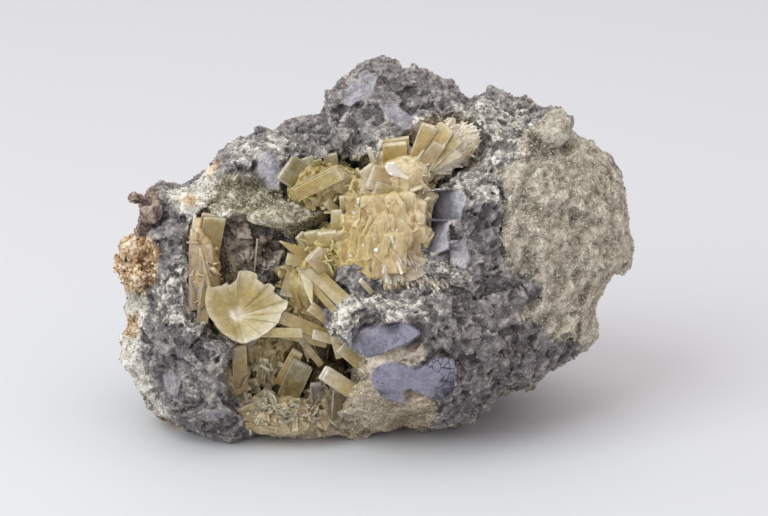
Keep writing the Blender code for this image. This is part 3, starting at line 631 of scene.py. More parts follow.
# Crystals: root, tip, width, thickness, root's share of the width, turn, layers, tint
bladeRows = {
    "upper left spray": [
        ((-7.6, 9.2, 9.4), (-12.6, 12.6, 11.2), 4.2, 0.9, 0.97, 10, 1, "olive"),
        ((-8.6, 9.6, 9.0), (-10.0, 13.9, 10.4), 3.4, 0.7, 0.97, -18, 1, "olive"),
        ((-9.8, 9.1, 13.4), (-4.3, 11.8, 15.0), 2.1, 1.1, 1.0, 8, 2, "lemon"),
        ((-5.6, 11.2, 9.4), (-6.0, 14.4, 10.8), 2.0, 0.8, 1.0, 5, 1, "smoke"),
        ((-0.8, 8.4, 11.8), (-5.0, 10.6, 13.2), 3.0, 1.0, 0.97, 0, 1, "honey"),
        ((-4.6, 5.6, 11.4), (-6.6, 7.6, 12.4), 1.3, 0.7, 0.97, 20, 1, "peach"),
        ((-3.6, 5.2, 12.4), (-3.9, 8.3, 14.2), 1.5, 0.8, 1.0, 12, 1, "peach"),
        ((-5.0, 2.6, 12.6), (-5.0, 6.3, 14.4), 1.6, 0.9, 1.0, 0, 1, "honey"),
    ],
    "upper spray": [
        ((5.8, 9.3, 12.8), (-1.3, 10.5, 15.2), 4.0, 1.6, 0.97, 0, 2, "peach"),
        ((5.4, 7.4, 13.0), (0.2, 9.3, 15.2), 2.6, 1.1, 0.97, -14, 1, "honey"),
        ((2.6, 8.0, 13.2), (-1.0, 12.4, 15.2), 2.4, 0.9, 0.97, 12, 1, "peach"),
        ((3.6, 12.3, 10.9), (3.4, 16.5, 13.2), 3.8, 1.8, 1.0, -4, 2, "amber"),
        ((5.4, 12.6, 10.6), (5.7, 15.0, 12.2), 1.3, 1.0, 0.97, 24, 1, "amber"),
        ((6.2, 12.0, 11.6), (8.4, 18.4, 14.2), 2.6, 1.0, 1.2, 6, 1, "amber"),
        ((6.8, 12.0, 12.0), (10.8, 18.2, 14.4), 2.6, 1.0, 1.2, -10, 1, "amber"),
        ((7.4, 12.2, 12.0), (12.4, 16.6, 14.2), 2.0, 0.9, 1.2, -16, 1, "honey"),
        ((6.6, 11.8, 12.2), (9.8, 15.8, 14.6), 1.8, 0.8, 1.0, 14, 1, "peach"),
        ((7.8, 12.0, 12.0), (12.6, 14.6, 14.0), 1.4, 0.8, 1.1, 10, 1, "pale"),
        ((0.5, 12.1, 12.8), (-0.4, 15.1, 15.0), 0.7, 0.5, 1.0, 10, 1, "white"),
    ],
    "glints": [
        ((-0.5, 0.9, 15.0), (0.9, 0.5, 15.9), 0.45, 0.3, 1.0, 0, 1, "white"),
        ((-0.2, 1.2, 15.4), (0.4, 2.3, 16.2), 0.4, 0.3, 1.0, 10, 1, "white"),
        ((-1.0, 6.2, 14.8), (-0.2, 7.5, 15.6), 0.4, 0.25, 1.0, 20, 1, "white"),
        ((-0.3, 5.0, 14.9), (0.3, 5.6, 15.7), 0.35, 0.25, 1.0, 0, 1, "white"),
        ((0.5, 3.4, 15.2), (1.4, 3.7, 16.0), 0.35, 0.25, 1.0, 0, 1, "white"),
        ((-2.0, 6.0, 14.6), (-1.9, 7.9, 15.8), 0.35, 0.25, 1.0, 0, 1, "white"),
        ((0.8, -6.4, 14.2), (-1.7, -3.6, 16.2), 0.7, 0.6, 1.0, 0, 1, "pale"),
    ],
    "starburst": [
        ((-7.4, -1.4, 12.0), (-13.2, 1.9, 13.6), 1.9, 0.8, 1.3, 8, 1, "honey"),
        ((-7.8, -1.4, 12.0), (-12.2, -0.6, 12.8), 1.6, 0.8, 1.0, -20, 1, "honey"),
        ((-8.0, -0.2, 11.8), (-10.4, 2.8, 13.4), 1.4, 0.7, 0.97, 20, 1, "lemon"),
        ((-7.6, -0.2, 11.8), (-8.6, 3.4, 13.9), 2.4, 0.8, 0.97, 6, 1, "honey"),
        ((-5.4, -0.6, 12.0), (-6.4, 3.3, 14.4), 2.8, 0.9, 0.97, -12, 1, "honey"),
        ((-4.2, 0.0, 12.2), (-4.1, 3.2, 14.4), 2.2, 0.8, 0.97, 16, 1, "amber"),
        ((-6.0, -2.6, 12.4), (-8.4, 0.2, 14.8), 2.8, 1.0, 0.97, 10, 1, "peach"),
        ((-9.8, -0.8, 11.6), (-8.5, -7.3, 13.4), 2.1, 0.9, 1.4, 6, 1, "honey"),
        ((-8.9, -2.6, 12.4), (-3.7, -7.6, 15.0), 1.1, 1.0, 1.0, 10, 1, "lemon"),
        ((-8.3, -2.0, 12.6), (-3.2, -6.8, 15.2), 1.1, 1.0, 1.0, -16, 1, "lemon"),
        ((-9.2, -3.6, 12.2), (-4.7, -8.5, 14.4), 1.0, 0.9, 1.0, 24, 1, "honey"),
        ((-10.8, -1.8, 9.4), (-12.2, -6.4, 10.4), 2.2, 0.9, 0.97, 6, 1, "smoke"),
    ],
    "left pocket": [
        ((-23.6, 0.9, 8.0), (-22.7, 5.6, 10.4), 3.4, 1.1, 0.97, 8, 2, "lemon"),
        ((-24.2, -6.6, 9.4), (-25.8, 3.6, 11.4), 3.2, 1.1, 1.5, 4, 1, "rose"),
        ((-23.2, -7.2, 9.8), (-24.6, 1.2, 11.6), 1.7, 0.8, 1.3, -26, 1, "peach"),
        ((-25.7, 2.0, 10.6), (-25.3, 5.6, 11.8), 0.5, 0.4, 1.0, 0, 1, "white"),
        ((-16.9, -1.5, 6.6), (-16.5, 2.2, 8.6), 0.22, 0.2, 1.0, 0, 1, "pale"),
    ],
    "under the fan": [
        ((-6.4, -11.8, 9.2), (-13.2, -9.0, 10.8), 1.9, 0.8, 0.97, 8, 1, "amber"),
        ((-7.6, -12.6, 9.0), (-15.6, -10.8, 10.4), 1.3, 0.7, 1.0, -10, 1, "honey"),
        ((-5.2, -10.2, 10.2), (-8.9, -7.5, 11.4), 1.6, 0.8, 1.0, 6, 1, "amber"),
        ((-8.8, -10.0, 8.4), (-12.8, -6.0, 9.6), 3.0, 0.9, 0.97, 10, 1, "brown"),
        ((-6.2, -9.8, 9.0), (-10.2, -5.4, 10.2), 2.8, 0.9, 0.97, -12, 1, "brown"),
        ((-18.4, -11.2, 10.6), (-9.8, -11.3, 11.8), 1.3, 0.6, 1.1, 14, 1, "lemon"),
        ((-5.0, -12.5, 9.8), (-8.6, -11.5, 10.6), 1.4, 0.7, 1.0, 8, 1, "pale"),
        ((-4.8, -13.8, 10.4), (-5.4, -11.4, 11.2), 1.3, 0.7, 1.0, 0, 1, "pale"),
        ((-2.2, -15.2, 12.2), (-4.5, -13.2, 13.0), 1.9, 0.7, 1.0, 12, 1, "pale"),
    ],
    "cave": [
        ((-19.0, -19.4, 7.0), (-19.1, -13.1, 9.2), 2.1, 0.9, 1.0, 4, 1, "honey"),
        ((-15.0, -17.8, 5.0), (-15.9, -11.7, 7.8), 4.5, 1.0, 0.97, 4, 1, "brown"),
        ((-12.6, -17.4, 4.6), (-12.1, -11.7, 7.0), 3.8, 1.0, 0.97, -12, 1, "brown"),
        ((-12.9, -17.9, 6.4), (-10.6, -13.9, 8.6), 1.8, 0.8, 0.97, 6, 1, "amber"),
        ((-11.8, -19.8, 6.6), (-9.8, -15.5, 9.0), 3.2, 0.9, 0.97, 8, 1, "brown"),
        ((-8.0, -15.1, 8.4), (-10.2, -12.3, 9.4), 1.0, 0.8, 1.0, 0, 1, "smoke"),
        ((-3.9, -19.1, 9.8), (-7.1, -16.9, 10.8), 2.2, 1.3, 1.0, 4, 2, "pale"),
        ((-6.4, -23.6, 6.6), (-6.9, -18.4, 7.8), 4.2, 1.0, 0.97, 0, 1, "umber"),
        ((-4.8, -23.2, 7.2), (-4.5, -19.4, 8.2), 2.4, 0.9, 0.97, 20, 1, "umber"),
        ((-8.4, -17.4, 3.4), (-7.6, -12.6, 5.4), 3.0, 0.9, 0.97, 8, 1, "umber"),
    ],
}

# The crystals that are one with the lining
massBlades = [
    ((4.6, 4.4, 12.6), (4.4, 8.9, 15.2), 3.8, 1.6, 0.97, 6, 1, "pale"),
    ((6.4, 4.2, 12.2), (7.0, 8.2, 14.4), 2.6, 1.4, 0.97, -18, 1, "pale"),
    ((-2.7, 4.4, 12.2), (-3.5, 8.3, 14.4), 1.5, 1.0, 1.0, 12, 1, "peach"),
    ((-3.2, 1.6, 12.6), (-3.2, 5.0, 14.6), 1.5, 1.0, 1.0, -8, 1, "peach"),
    ((-4.7, 2.2, 12.4), (-4.9, 6.1, 14.2), 1.4, 0.9, 1.0, 0, 1, "honey"),
    ((-5.6, 6.4, 11.4), (-6.7, 7.7, 12.4), 1.2, 0.7, 1.0, 20, 1, "peach"),
    ((-0.6, 4.0, 13.0), (-1.4, 8.0, 15.2), 1.7, 1.0, 0.97, -10, 1, "peach"),
    ((1.6, 4.8, 13.4), (1.2, 8.6, 15.4), 2.2, 1.0, 0.97, 12, 1, "peach"),
    ((-0.7, -0.6, 13.2), (-0.9, 3.2, 15.2), 2.4, 1.1, 0.97, 14, 1, "rose"),
    ((5.6, -0.8, 12.8), (5.5, 3.8, 15.2), 2.8, 1.3, 0.97, 8, 1, "pale"),
    ((2.4, 0.2, 13.4), (2.2, 4.0, 15.6), 2.2, 1.0, 0.97, -14, 1, "peach"),
    ((7.6, 0.4, 12.2), (7.9, 4.2, 14.0), 2.0, 1.0, 0.97, -16, 1, "pale"),
]

# Fans: root, tint, then layers: rise of the rim, height of the ridges, lean in degrees (back, sideways),
# and the teeth of the rim from left to right (angle, length)
fanRows = {
    "yellow fan": ((-19.5, -9.0, 10.6), "lemon", [
        (1.2, 0.016, (0, 0), [
            (287, 4.1), (272, 3.6), (250, 3.1), (220, 3.0), (194, 3.2), (176, 3.9), (161, 4.5), (146, 5.2),
            (131, 6.0), (128, 5.3), (114, 4.9), (103, 5.1), (101, 4.6), (89, 5.2), (86, 6.6), (74, 6.9),
            (62, 6.9), (59, 6.2), (48, 6.2), (45, 6.9), (36, 7.1), (33, 6.5), (20, 7.3), (17, 8.0), (8, 7.4),
            (5, 6.7), (-7, 6.3), (-20, 5.4), (-35, 4.8), (-55, 4.2), (-72, 4.1),
        ]),
    ]),
    "white spray": ((5.2, 10.7, 14.4), "white", [
        (1.6, 0.10, (0, 0), [
            (170, 2.4), (164, 3.2), (157, 3.5), (151, 3.8), (144, 3.7), (138, 3.4), (131, 3.0),
        ]),
    ]),
    "fibres": ((3.0, 0.6, 14.2), "rose", [
        (0.4, 0.03, (0, 0), [
            (-14, 5.6), (-30, 6.0), (-46, 5.6), (-62, 5.1), (-78, 4.6), (-94, 3.9), (-110, 3.0),
        ]),
    ]),
    "right fibres": ((6.4, 1.0, 13.4), "pale", [
        (0.3, 0.03, (0, 4), [(-6, 4.2), (-26, 5.2), (-46, 5.0), (-66, 4.2), (-80, 3.4)]),
    ]),
}

# Clusters on the lumps: middle (x, u), half sizes, heading, spread, number, lengths, widths, tint.
# The grown ones are one with the lining, the loose ones stand apart from it.
clusterRows = {
    "grown": [
        ((-1.2, 4.0), (3.2, 4.6), (-0.1, 0.97, 0.24), 0.07, 16, (3.0, 5.2), (1.4, 2.4), "peach"),
        ((2.8, 3.0), (4.4, 4.6), (0.05, 0.97, 0.22), 0.08, 22, (3.4, 6.2), (1.8, 3.8), "peach"),
        ((5.4, 6.0), (2.8, 3.4), (0.1, 0.95, 0.25), 0.10, 8, (2.6, 4.6), (1.8, 3.2), "pale"),
        ((2.6, 9.6), (4.8, 1.8), (-0.7, 0.6, 0.3), 0.13, 24, (1.8, 3.8), (0.9, 2.2), "honey"),
        ((-6.2, 0.6), (3.0, 2.4), (-0.4, 0.85, 0.35), 0.18, 26, (1.6, 3.6), (0.8, 2.0), "honey"),
        ((-8.6, -1.6), (2.0, 2.0), (-0.5, 0.2, 0.8), 0.35, 24, (1.4, 2.8), (0.8, 1.8), "honey"),
        ((-8.6, 10.4), (3.6, 2.2), (-0.5, 0.7, 0.5), 0.2, 30, (1.2, 2.4), (0.8, 1.8), "olive"),
        ((-2.0, 9.6), (2.8, 1.6), (-0.5, 0.6, 0.6), 0.3, 26, (1.4, 3.0), (0.8, 1.8), "honey"),
        ((7.0, 5.4), (1.2, 4.8), (0.3, 0.7, 0.7), 0.3, 40, (1.0, 2.4), (0.5, 1.4), "pale"),
        ((9.2, 15.2), (2.8, 2.6), (0.5, 0.75, 0.4), 0.13, 50, (2.4, 4.6), (0.5, 1.3), "amber"),
        ((6.0, -2.4), (4.6, 2.4), (0.4, -0.88, 0.22), 0.12, 60, (2.6, 5.0), (0.4, 0.9), "rose"),
        ((-19.6, -16.6), (1.4, 3.4), (0.1, 0.8, 0.5), 0.3, 16, (1.6, 3.6), (0.7, 1.6), "smoke"),
        ((-12.6, -13.6), (4.0, 2.4), (-0.1, 0.8, 0.5), 0.3, 26, (1.8, 3.8), (1.0, 2.2), "brown"),
        ((-6.4, -20.6), (2.4, 3.0), (0, 0.8, 0.5), 0.3, 24, (1.4, 3.0), (0.9, 2.0), "umber"),
        ((-11.0, -9.6), (4.6, 2.0), (-0.8, 0.25, 0.5), 0.25, 36, (1.8, 3.8), (0.6, 1.4), "amber"),
        ((-18.6, -9.0), (4.0, 3.0), (0.1, 0.7, 0.6), 0.4, 30, (1.4, 3.0), (0.8, 1.8), "honey"),
        ((-13.0, -23.2), (6.0, 2.0), (0.5, 0.2, 0.7), 0.4, 60, (1.2, 3.0), (0.4, 1.2), "smoke"),
    ],
    "loose": [
        ((1.0, 2.4), (5.4, 4.8), (0, 0.8, 0.6), 0.3, 9, (0.8, 1.4), (0.25, 0.4), "white"),
        ((13.0, 16.4), (2.3, 2.4), (0.8, 0.5, 0.3), 0.24, 170, (1.0, 2.8), (0.07, 0.2), "white"),
        ((10.8, 12.8), (3.2, 1.0), (0.95, 0.2, 0.3), 0.24, 130, (1.0, 2.8), (0.07, 0.2), "white"),
        ((5.0, -2.4), (3.6, 2.4), (0.3, -0.88, 0.3), 0.13, 60, (2.6, 5.0), (0.15, 0.45), "rose"),
        ((8.2, -2.0), (3.2, 2.4), (0.65, -0.72, 0.25), 0.15, 90, (2.4, 5.0), (0.12, 0.4), "rose"),
        ((-24.4, -2.8), (1.6, 4.6), (-0.1, 0.95, 0.3), 0.18, 14, (2.4, 4.6), (0.6, 1.4), "rose"),
        ((-14.6, -18.0), (2.6, 2.4), (0.1, 0.7, 0.5), 0.45, 40, (1.6, 3.4), (0.7, 1.9), "smoke"),
        ((-16.8, -20.8), (2.8, 2.2), (0.85, 0.3, 0.4), 0.28, 34, (2.6, 5.2), (0.7, 1.8), "smoke"),
        ((-14.6, -23.2), (4.0, 1.6), (0.75, 0.15, 0.6), 0.35, 34, (1.8, 4.0), (0.5, 1.3), "smoke"),
        ((-10.4, -23.4), (3.0, 1.6), (0.4, 0.3, 0.8), 0.45, 40, (0.8, 2.2), (0.2, 0.8), "smoke"),
    ],
}

crystalLook = {
    "bevel": 0.045, "bevelShares": (0.2, 0.05), "plainBelow": 0.7, "tipThickness": 0.42, "spearFrom": 1.2,
    "spear": ((0.62, 0.66), (0.1, 0.985), (-0.1, 1.0), (-0.62, 0.72)),  # shares of half width and length
    "cornerCut": (0.02, 0.14), "cutSpread": (0.6, 1.2), "slant": 0.16, "endShare": (0.8, 0.98),
    "buriedRoot": 1.2, "layerGap": 0.05, "layerShorter": (0.01, 0.08), "layerNarrower": (0, 0.18),
    "layerYaw": 4, "layerShift": 0.12, "tintSpread": (0.8, 1.2), "depths": (0.85, 1.2),
    "milkyBelow": 0.5, "milky": (0.35, 1.0), "grainShift": 50, "seed": 77,
}
fanLook = {
    "rings": 7, "step": 2.5, "thickness": 0.32, "gap": 0.4, "curl": 1.3, "ripple": 1.6, "paleMiddle": 0.4,
    "innermost": 0.02, "grain": 5, "shades": (0.96, 1.03),
}
clusterLook = {
    "buried": 0.62, "looseTurn": 50, "grownTurn": 14, "thickness": (0.2, 0.4), "rootShare": (0.92, 1.08),
    "facing": 0.2, "front": 1,
}


def outlineOfTablet(width, length, rootShare, random):  # (across, along) round the broad face
    half = width / 2
    root = [(-half * rootShare, 0), (half * rootShare, 0)]
    if rootShare > crystalLook["spearFrom"]:  # a spear: widest low down, pointed above
        return root + [(across * half, along * length) for across, along in crystalLook["spear"]]
    cut = width * random.uniform(*crystalLook["cornerCut"])
    slant = width * random.uniform(-crystalLook["slant"], crystalLook["slant"])
    inner = random.uniform(*crystalLook["endShare"], 2)
    left, right = length - max(slant, 0), length + min(slant, 0)
    rightCut = cut * random.uniform(*crystalLook["cutSpread"])
    return root + [(half, right - rightCut), (half * inner[1], right), (-half * inner[0], left),
                   (-half, left - cut)]


def tabletShape(width, length, thickness, rootShare, random):
    shape = bmesh.new()
    corners = [shape.verts.new((across, along, -thickness / 2))
               for across, along in outlineOfTablet(width, length, rootShare, random)]
    shape.faces.new([corners[0], corners[1], corners[2], corners[5]])
    shape.faces.new([corners[2], corners[3], corners[4], corners[5]])
    upper = bmesh.ops.extrude_face_region(shape, geom=list(shape.faces))["geom"]
    raised = [part for part in upper if isinstance(part, bmesh.types.BMVert)]
    bmesh.ops.translate(shape, vec=(0, 0, thickness), verts=raised)
    tips = {corners[3].co[:2], corners[4].co[:2]}
    tipVerts = [vert for vert in shape.verts if vert.co[:2] in tips]
    bmesh.ops.scale(shape, vec=(1, 1, crystalLook["tipThickness"]), verts=tipVerts)
    bmesh.ops.recalc_face_normals(shape, faces=shape.faces)
    if width > crystalLook["plainBelow"]:
        thin, narrow = crystalLook["bevelShares"]
        offset = min(crystalLook["bevel"], thickness * thin, width * narrow)
        bmesh.ops.bevel(shape, geom=list(shape.edges), offset=offset, offset_type="OFFSET", segments=1,
                        profile=0.5, affect="EDGES", material=-1)
    return shapeArrays(shape)


def addCrystal(gather, row, random):
    root, tip, width, thickness, rootShare, turn, layers, tint = row
    root, tip = np.array(root, float), np.array(tip, float)
    length = np.linalg.norm(tip - root)
    along = (tip - root) / length
    across = np.cross(along, (0, 0, 1))
    across /= np.linalg.norm(across)
    twist = Matrix.Rotation(math.radians(turn), 3, Vector(along))
    across = np.array(twist @ Vector(across))
    out = np.cross(across, along)
    colour = np.array(srgb(tints[tint])) ** random.uniform(*crystalLook["tintSpread"])
    milky = (width < crystalLook["milkyBelow"]) * crystalLook["milky"][tint == "white"]
    for layer in range(layers):
        shorter = length * (1 - layer * random.uniform(*crystalLook["layerShorter"]))
        whole = shorter + crystalLook["buriedRoot"]
        broad = width * (1 - layer * random.uniform(*crystalLook["layerNarrower"]))
        points, faces = tabletShape(broad, whole, thickness / layers, rootShare, random)
        yaw = math.radians(random.uniform(-crystalLook["layerYaw"], crystalLook["layerYaw"]) * (layer > 0))
        local = points - (0, crystalLook["buriedRoot"], 0)
        laid = np.column_stack([
            local[:, 0] * math.cos(yaw) - local[:, 1] * math.sin(yaw),
            local[:, 0] * math.sin(yaw) + local[:, 1] * math.cos(yaw),
            local[:, 2] + (layer - (layers - 1) / 2) * (thickness / layers + crystalLook["layerGap"]),
        ])
        shift = random.uniform(-crystalLook["layerShift"], crystalLook["layerShift"])
        laid[:, 0] += shift * width * (layer > 0)
        world = faceToWorld(root + laid @ np.array([across, along, out]))
        shade = colour ** random.uniform(*crystalLook["depths"])
        place = [points[:, 0] / (broad / 2), points[:, 1] / whole, np.full(len(points), milky)]
        addToGather(gather, world, faces, {
            "tint": np.tile(shade, (len(points), 1)), "place": np.column_stack(place),
            "grain": points + random.uniform(0, crystalLook["grainShift"], 3)})


def addFan(gather, root, tint, layer, random):  # a sheet of blades grown together, with a rim like a saw
    rise, ridge, (back, sideways), teeth = layer
    angles, lengths = np.array(teeth, float).T
    steps = random.permutation(np.linspace(-1, 1, len(teeth)))
    columns = int(abs(angles[0] - angles[-1]) / fanLook["step"])
    shape = bmesh.new()
    bmesh.ops.create_grid(shape, x_segments=columns, y_segments=fanLook["rings"], size=1)
    shape.verts.index_update()
    grain, place = [], []
    for vert in shape.verts:
        across, along = (vert.co.x + 1) / 2, max(fanLook["innermost"], (vert.co.y + 1) / 2)
        angle = angles[0] + across * 0.9999 * (angles[-1] - angles[0])
        tooth = int(np.searchsorted(-angles, -angle, side="right")) - 1
        share = (angle - angles[tooth]) / (angles[tooth + 1] - angles[tooth])
        angle = math.radians(angle)
        radius = along * (lengths[tooth] + share * (lengths[tooth + 1] - lengths[tooth]))
        ripple = steps[tooth] + fanLook["ripple"] * (share - 0.5) * (1 if tooth % 2 else -1)
        lift = rise * along ** fanLook["curl"] + ridge * radius * ripple
        vert.co = (radius * math.cos(angle), radius * math.sin(angle), lift)
        grain.append((angle * fanLook["grain"], radius, 0.0))
        middle = smoothStep(1 - along / fanLook["paleMiddle"])
        place.append((0.0, 0.5 + 0.5 * along, max(middle, float(tint == "white"))))
    for angle, axis in ((-back, "X"), (sideways, "Y")):
        lean = Matrix.Rotation(math.radians(angle), 3, axis)
        bmesh.ops.rotate(shape, cent=(0, 0, 0), matrix=lean, verts=shape.verts)
    bmesh.ops.recalc_face_normals(shape, faces=shape.faces)
    bmesh.ops.solidify(shape, geom=list(shape.faces), thickness=fanLook["thickness"])
    points, faces = shapeArrays(shape)
    repeat = len(points) // len(grain)
    colour = np.array(srgb(tints[tint])) * (*[random.uniform(*fanLook["shades"])] * 3, 1)
    addToGather(gather, faceToWorld(points + root), faces, {
        "tint": np.tile(colour, (len(points), 1)), "place": np.tile(place, (repeat, 1)),
        "grain": np.tile(grain, (repeat, 1)) + random.uniform(0, crystalLook["grainShift"], 3)})


def addCluster(gather, surface, row, turn, random):  # surface: places, and how far each faces outwards
    middle, halfSizes, heading, spread, count, lengths, widths, tint = row
    places, facing = surface
    inFront = (facing > clusterLook["facing"]) & (places[:, 2] > clusterLook["front"])
    near = apartFrom(places, middle, halfSizes) < 1
    chosen = places[random.choice(np.flatnonzero(near & inFront), count)]
    for place in chosen:
        way = np.array(heading) / np.linalg.norm(heading) + random.normal(0, spread, 3)
        way *= random.uniform(*lengths) / np.linalg.norm(way)
        width = random.uniform(*widths)
        root = place - clusterLook["buried"] * way
        addCrystal(gather, (root, root + way, width, width * random.uniform(*clusterLook["thickness"]),
                            random.uniform(*clusterLook["rootShare"]), random.uniform(-1, 1) * turn,
                            random.integers(1, 3), tint), random)


def surfaceOf(piece):
    places = worldToFace(readPoints(piece.data))
    return places, worldToFace(readPoints(piece.data) + readNormals(piece.data) * mm)[:, 2] - places[:, 2]


def makeBlades(lining):
    random = np.random.default_rng(crystalLook["seed"])
    gather = newGather()
    for rows in bladeRows.values():
        for row in rows:
            addCrystal(gather, row, random)
    for root, tint, layers in fanRows.values():
        for number, layer in enumerate(layers):
            addFan(gather, np.array(root) + (0, 0, fanLook["gap"] * number), tint, layer, random)
    surface = surfaceOf(lining)
    for row in clusterRows["loose"]:
        addCluster(gather, surface, row, clusterLook["looseTurn"], random)
    blades = gatherObject("hemimorphiteBlades", gather)
    print("blades:", sum(len(polygon.vertices) - 2 for polygon in blades.data.polygons), "triangles")
    return blades


# Lumps of the drusy lining under the blades: centre (x, u, f), half sizes, turn in degrees
liningLumps = [
    ((1.4, 3, 10.8), (6.0, 6.8, 5.2), 0), ((4.5, 11.3, 10.2), (4.8, 3.3, 4.6), 20),
    ((10.5, 15, 8.8), (5.5, 3, 3.7), 25), ((-6.5, -0.3, 9.0), (4.8, 3.6, 4.6), 0),
    ((-7, 9.8, 9.0), (5.4, 3.2, 3.8), 15), ((-18.5, -8.5, 5.6), (5, 3.8, 4), 0),
    ((-24.5, -2, 7.4), (2.6, 7.5, 3.5), 5), ((-12, -16.5, -0.6), (9, 7, 4.5), 10),
    ((-13, -23.5, 5.5), (7, 3, 4), 0), ((-6, -20.5, 3.5), (3.5, 5, 4.5), 0),
    ((-10.5, -10, 5.4), (7, 3, 4.5), 0), ((6.5, -2.6, 10.4), (4.5, 3.2, 4), 10),
    ((-2.5, 2, 10.2), (4.4, 4.2, 4.2), 0), ((-20, -17, 3.4), (3, 6, 4.5), 0),
    ((-0.6, 8.0, 10.2), (4.2, 3.6, 4.2), 0), ((-16, -13, 3), (6, 5, 5), 0),
    ((-9.5, -5.0, 7.4), (3.6, 4.5, 4.5), 0), ((5.4, 4.5, 10.4), (2.7, 6.5, 4.5), 0),
    ((2.4, 14.2, 8.6), (3.2, 2.6, 3.0), 0),
]

# How the lining changes colour over the face: place (x, u), reach, colour. The dark browns deep in the cave,
# round (-12, -14) and (-6, -19), are painted shade of the hollow.
liningTintsAndShade = [
    ((3, 5), 7, "c0b084"), ((10, 14), 6, "e0d6b8"), ((-7, 10), 5, "a89c60"), ((-6, 0), 5, "bfae68"),
    ((-18, -8), 5, "c4b470"), ((-25, -2), 5, "ceb68c"), ((-12, -14), 7, "7e7044"), ((-6, -19), 4, "524429"),
    ((-13, -23), 5, "bcae8e"), ((8, -3), 5, "bfb090"), ((-20, -17), 4, "a0946a"), ((-9, -9), 4, "8c7a46"),
    ((8, 6), 3, "d8d0b8"),
]


# the lining's colour over the face, with the painted shade in the cave
def tintAndShadeAt(points):  # a linear colour for each face-frame point
    total, weight = np.zeros((len(points), 4)), np.zeros((len(points), 1))
    for (x, u), reach, colour in liningTintsAndShade:
        apart = (points[:, 0] - x) ** 2 + (points[:, 1] - u) ** 2
        share = np.exp(-apart / reach ** 2)[:, None] + 1e-6
        total += share * np.array(srgb(colour))
        weight += share
    return total / weight


liningLook = {
    "voxel": 0.17, "smoothing": 1, "triangles": 190000, "pullIn": 0.05, "seed": 78,
    "facets": [(1.5, 0.16, 21), (0.7, 0.07, 22)], "squeeze": (1.0, 0.5, 0.8),
    "calm": 0.6, "calmRounds": 30, "calmPlace": ((3, 3.5), (9, 10)),
    "reliefRounds": 6, "reliefReach": 0.6,
}


def makeLining():
    random = np.random.default_rng(liningLook["seed"])
    gather = newGather()
    for centre, halfSizes, turn in liningLumps:
        addToGather(gather, *ellipsoid(centre, halfSizes, turn), {})
    lumps = gatherObject("hemimorphiteLumps", gather)
    voxelRemesh(lumps, 2 * liningLook["voxel"], 1)
    surface = surfaceOf(lumps)
    bpy.data.objects.remove(lumps)
    for row in clusterRows["grown"]:
        addCluster(gather, surface, row, clusterLook["grownTurn"], random)
    for row in massBlades:
        addCrystal(gather, row, random)
    gather["fields"] = {}
    lining = gatherObject("hemimorphiteLining", gather)
    voxelRemesh(lining, liningLook["voxel"], liningLook["smoothing"])
    world, normals = readPoints(lining.data), readNormals(lining.data)
    points = worldToFace(world)
    height = -liningLook["pullIn"]
    for cell, size, seed in liningLook["facets"]:
        height += facetsAt(points * liningLook["squeeze"], cell, seed) * size
    inMass = smoothStep(2 * (1 - apartFrom(points, *liningLook["calmPlace"])))  # the calmer part
    height -= liningLook["calm"] * inMass * reliefOf(lining.data, liningLook["calmRounds"])
    writePoints(lining.data, world + normals * (height * mm)[:, None])
    thinOut(lining, liningLook["triangles"])
    # the lining's colour, with the painted shade in the cave
    writeField(lining.data, "tint", tintAndShadeAt(worldToFace(readPoints(lining.data))))
    writeRelief(lining.data, liningLook)
    print("lining:", len(lining.data.polygons), "faces")
    return lining


def dropPockets(piece):  # keeps the outer surface alone, without the air pockets shut in behind it
    shape = bmesh.new()
    shape.from_mesh(piece.data)
    waiting, islands = set(shape.verts), []
    while waiting:
        front, island = [waiting.pop()], []
        while front:
            vert = front.pop()
            island.append(vert)
            near = {edge.other_vert(vert) for edge in vert.link_edges} & waiting
            waiting -= near
            front.extend(near)
        islands.append(island)
    islands.sort(key=len)
    bmesh.ops.delete(shape, geom=[vert for island in islands[:-1] for vert in island], context="VERTS")
    shape.to_mesh(piece.data)
    shape.free()
    print("lining:", len(islands) - 1, "pockets dropped")


druseLook = {
    "count": 420, "spread": 0.35, "seed": 12, "sunk": 0.45, "heading": (0, -0.25, 0.425),
    "inCave": 0.4, "inMass": 0.12, "massPlace": ((2, 3), (7, 8)), "caveBelow": -11, "caveLeftOf": -2,
    "lengths": (4, 0.28), "shortest": 0.4, "longest": 2.4, "widths": (0.4, 0.8), "thickness": (0.1, 0.2),
    "tintPower": 0.9, "tintSpread": (0.9, 1.08),
}


def makeDruse(lining):
    look = druseLook
    random = np.random.default_rng(look["seed"])
    count = look["count"]
    points = worldToFace(readPoints(lining.data))
    x, u, f = points.T
    inCave = (u < look["caveBelow"]) & (x < look["caveLeftOf"])
    inMass = apartFrom(points, *look["massPlace"]) < 1
    share = np.where(inCave, look["inCave"], np.where(inMass, look["inMass"], 1.0))
    places, normals = samplePlaces(lining.data, (f > 1) * share, count, random)
    directions = normals + look["heading"] + look["spread"] * random.normal(0, 1, (count, 3))
    length = random.gamma(*look["lengths"], count).clip(look["shortest"], look["longest"])
    width, thickness = random.uniform(*look["widths"], count), random.uniform(*look["thickness"], count)
    sizes = np.column_stack([length * width, length * thickness, length])
    turns = turnsAlong(random, directions)
    places -= turns[:, :, 2] * (sizes[:, 2:] * look["sunk"] * mm)
    shades = random.uniform(*look["tintSpread"], (count, 1))
    # the druse takes the lining's colour, painted cave shade included
    tint = tintAndShadeAt(worldToFace(places)) ** look["tintPower"] * shades
    return scatterObject("hemimorphiteDruse", bladeTemplate(), places, turns, sizes * mm, {"tint": tint})


# Nodes of a material

def feed(made, index, value):
    if isinstance(value, bpy.types.NodeSocket):
        made.id_data.links.new(value, made.inputs[index])
    else:
        made.inputs[index].default_value = value


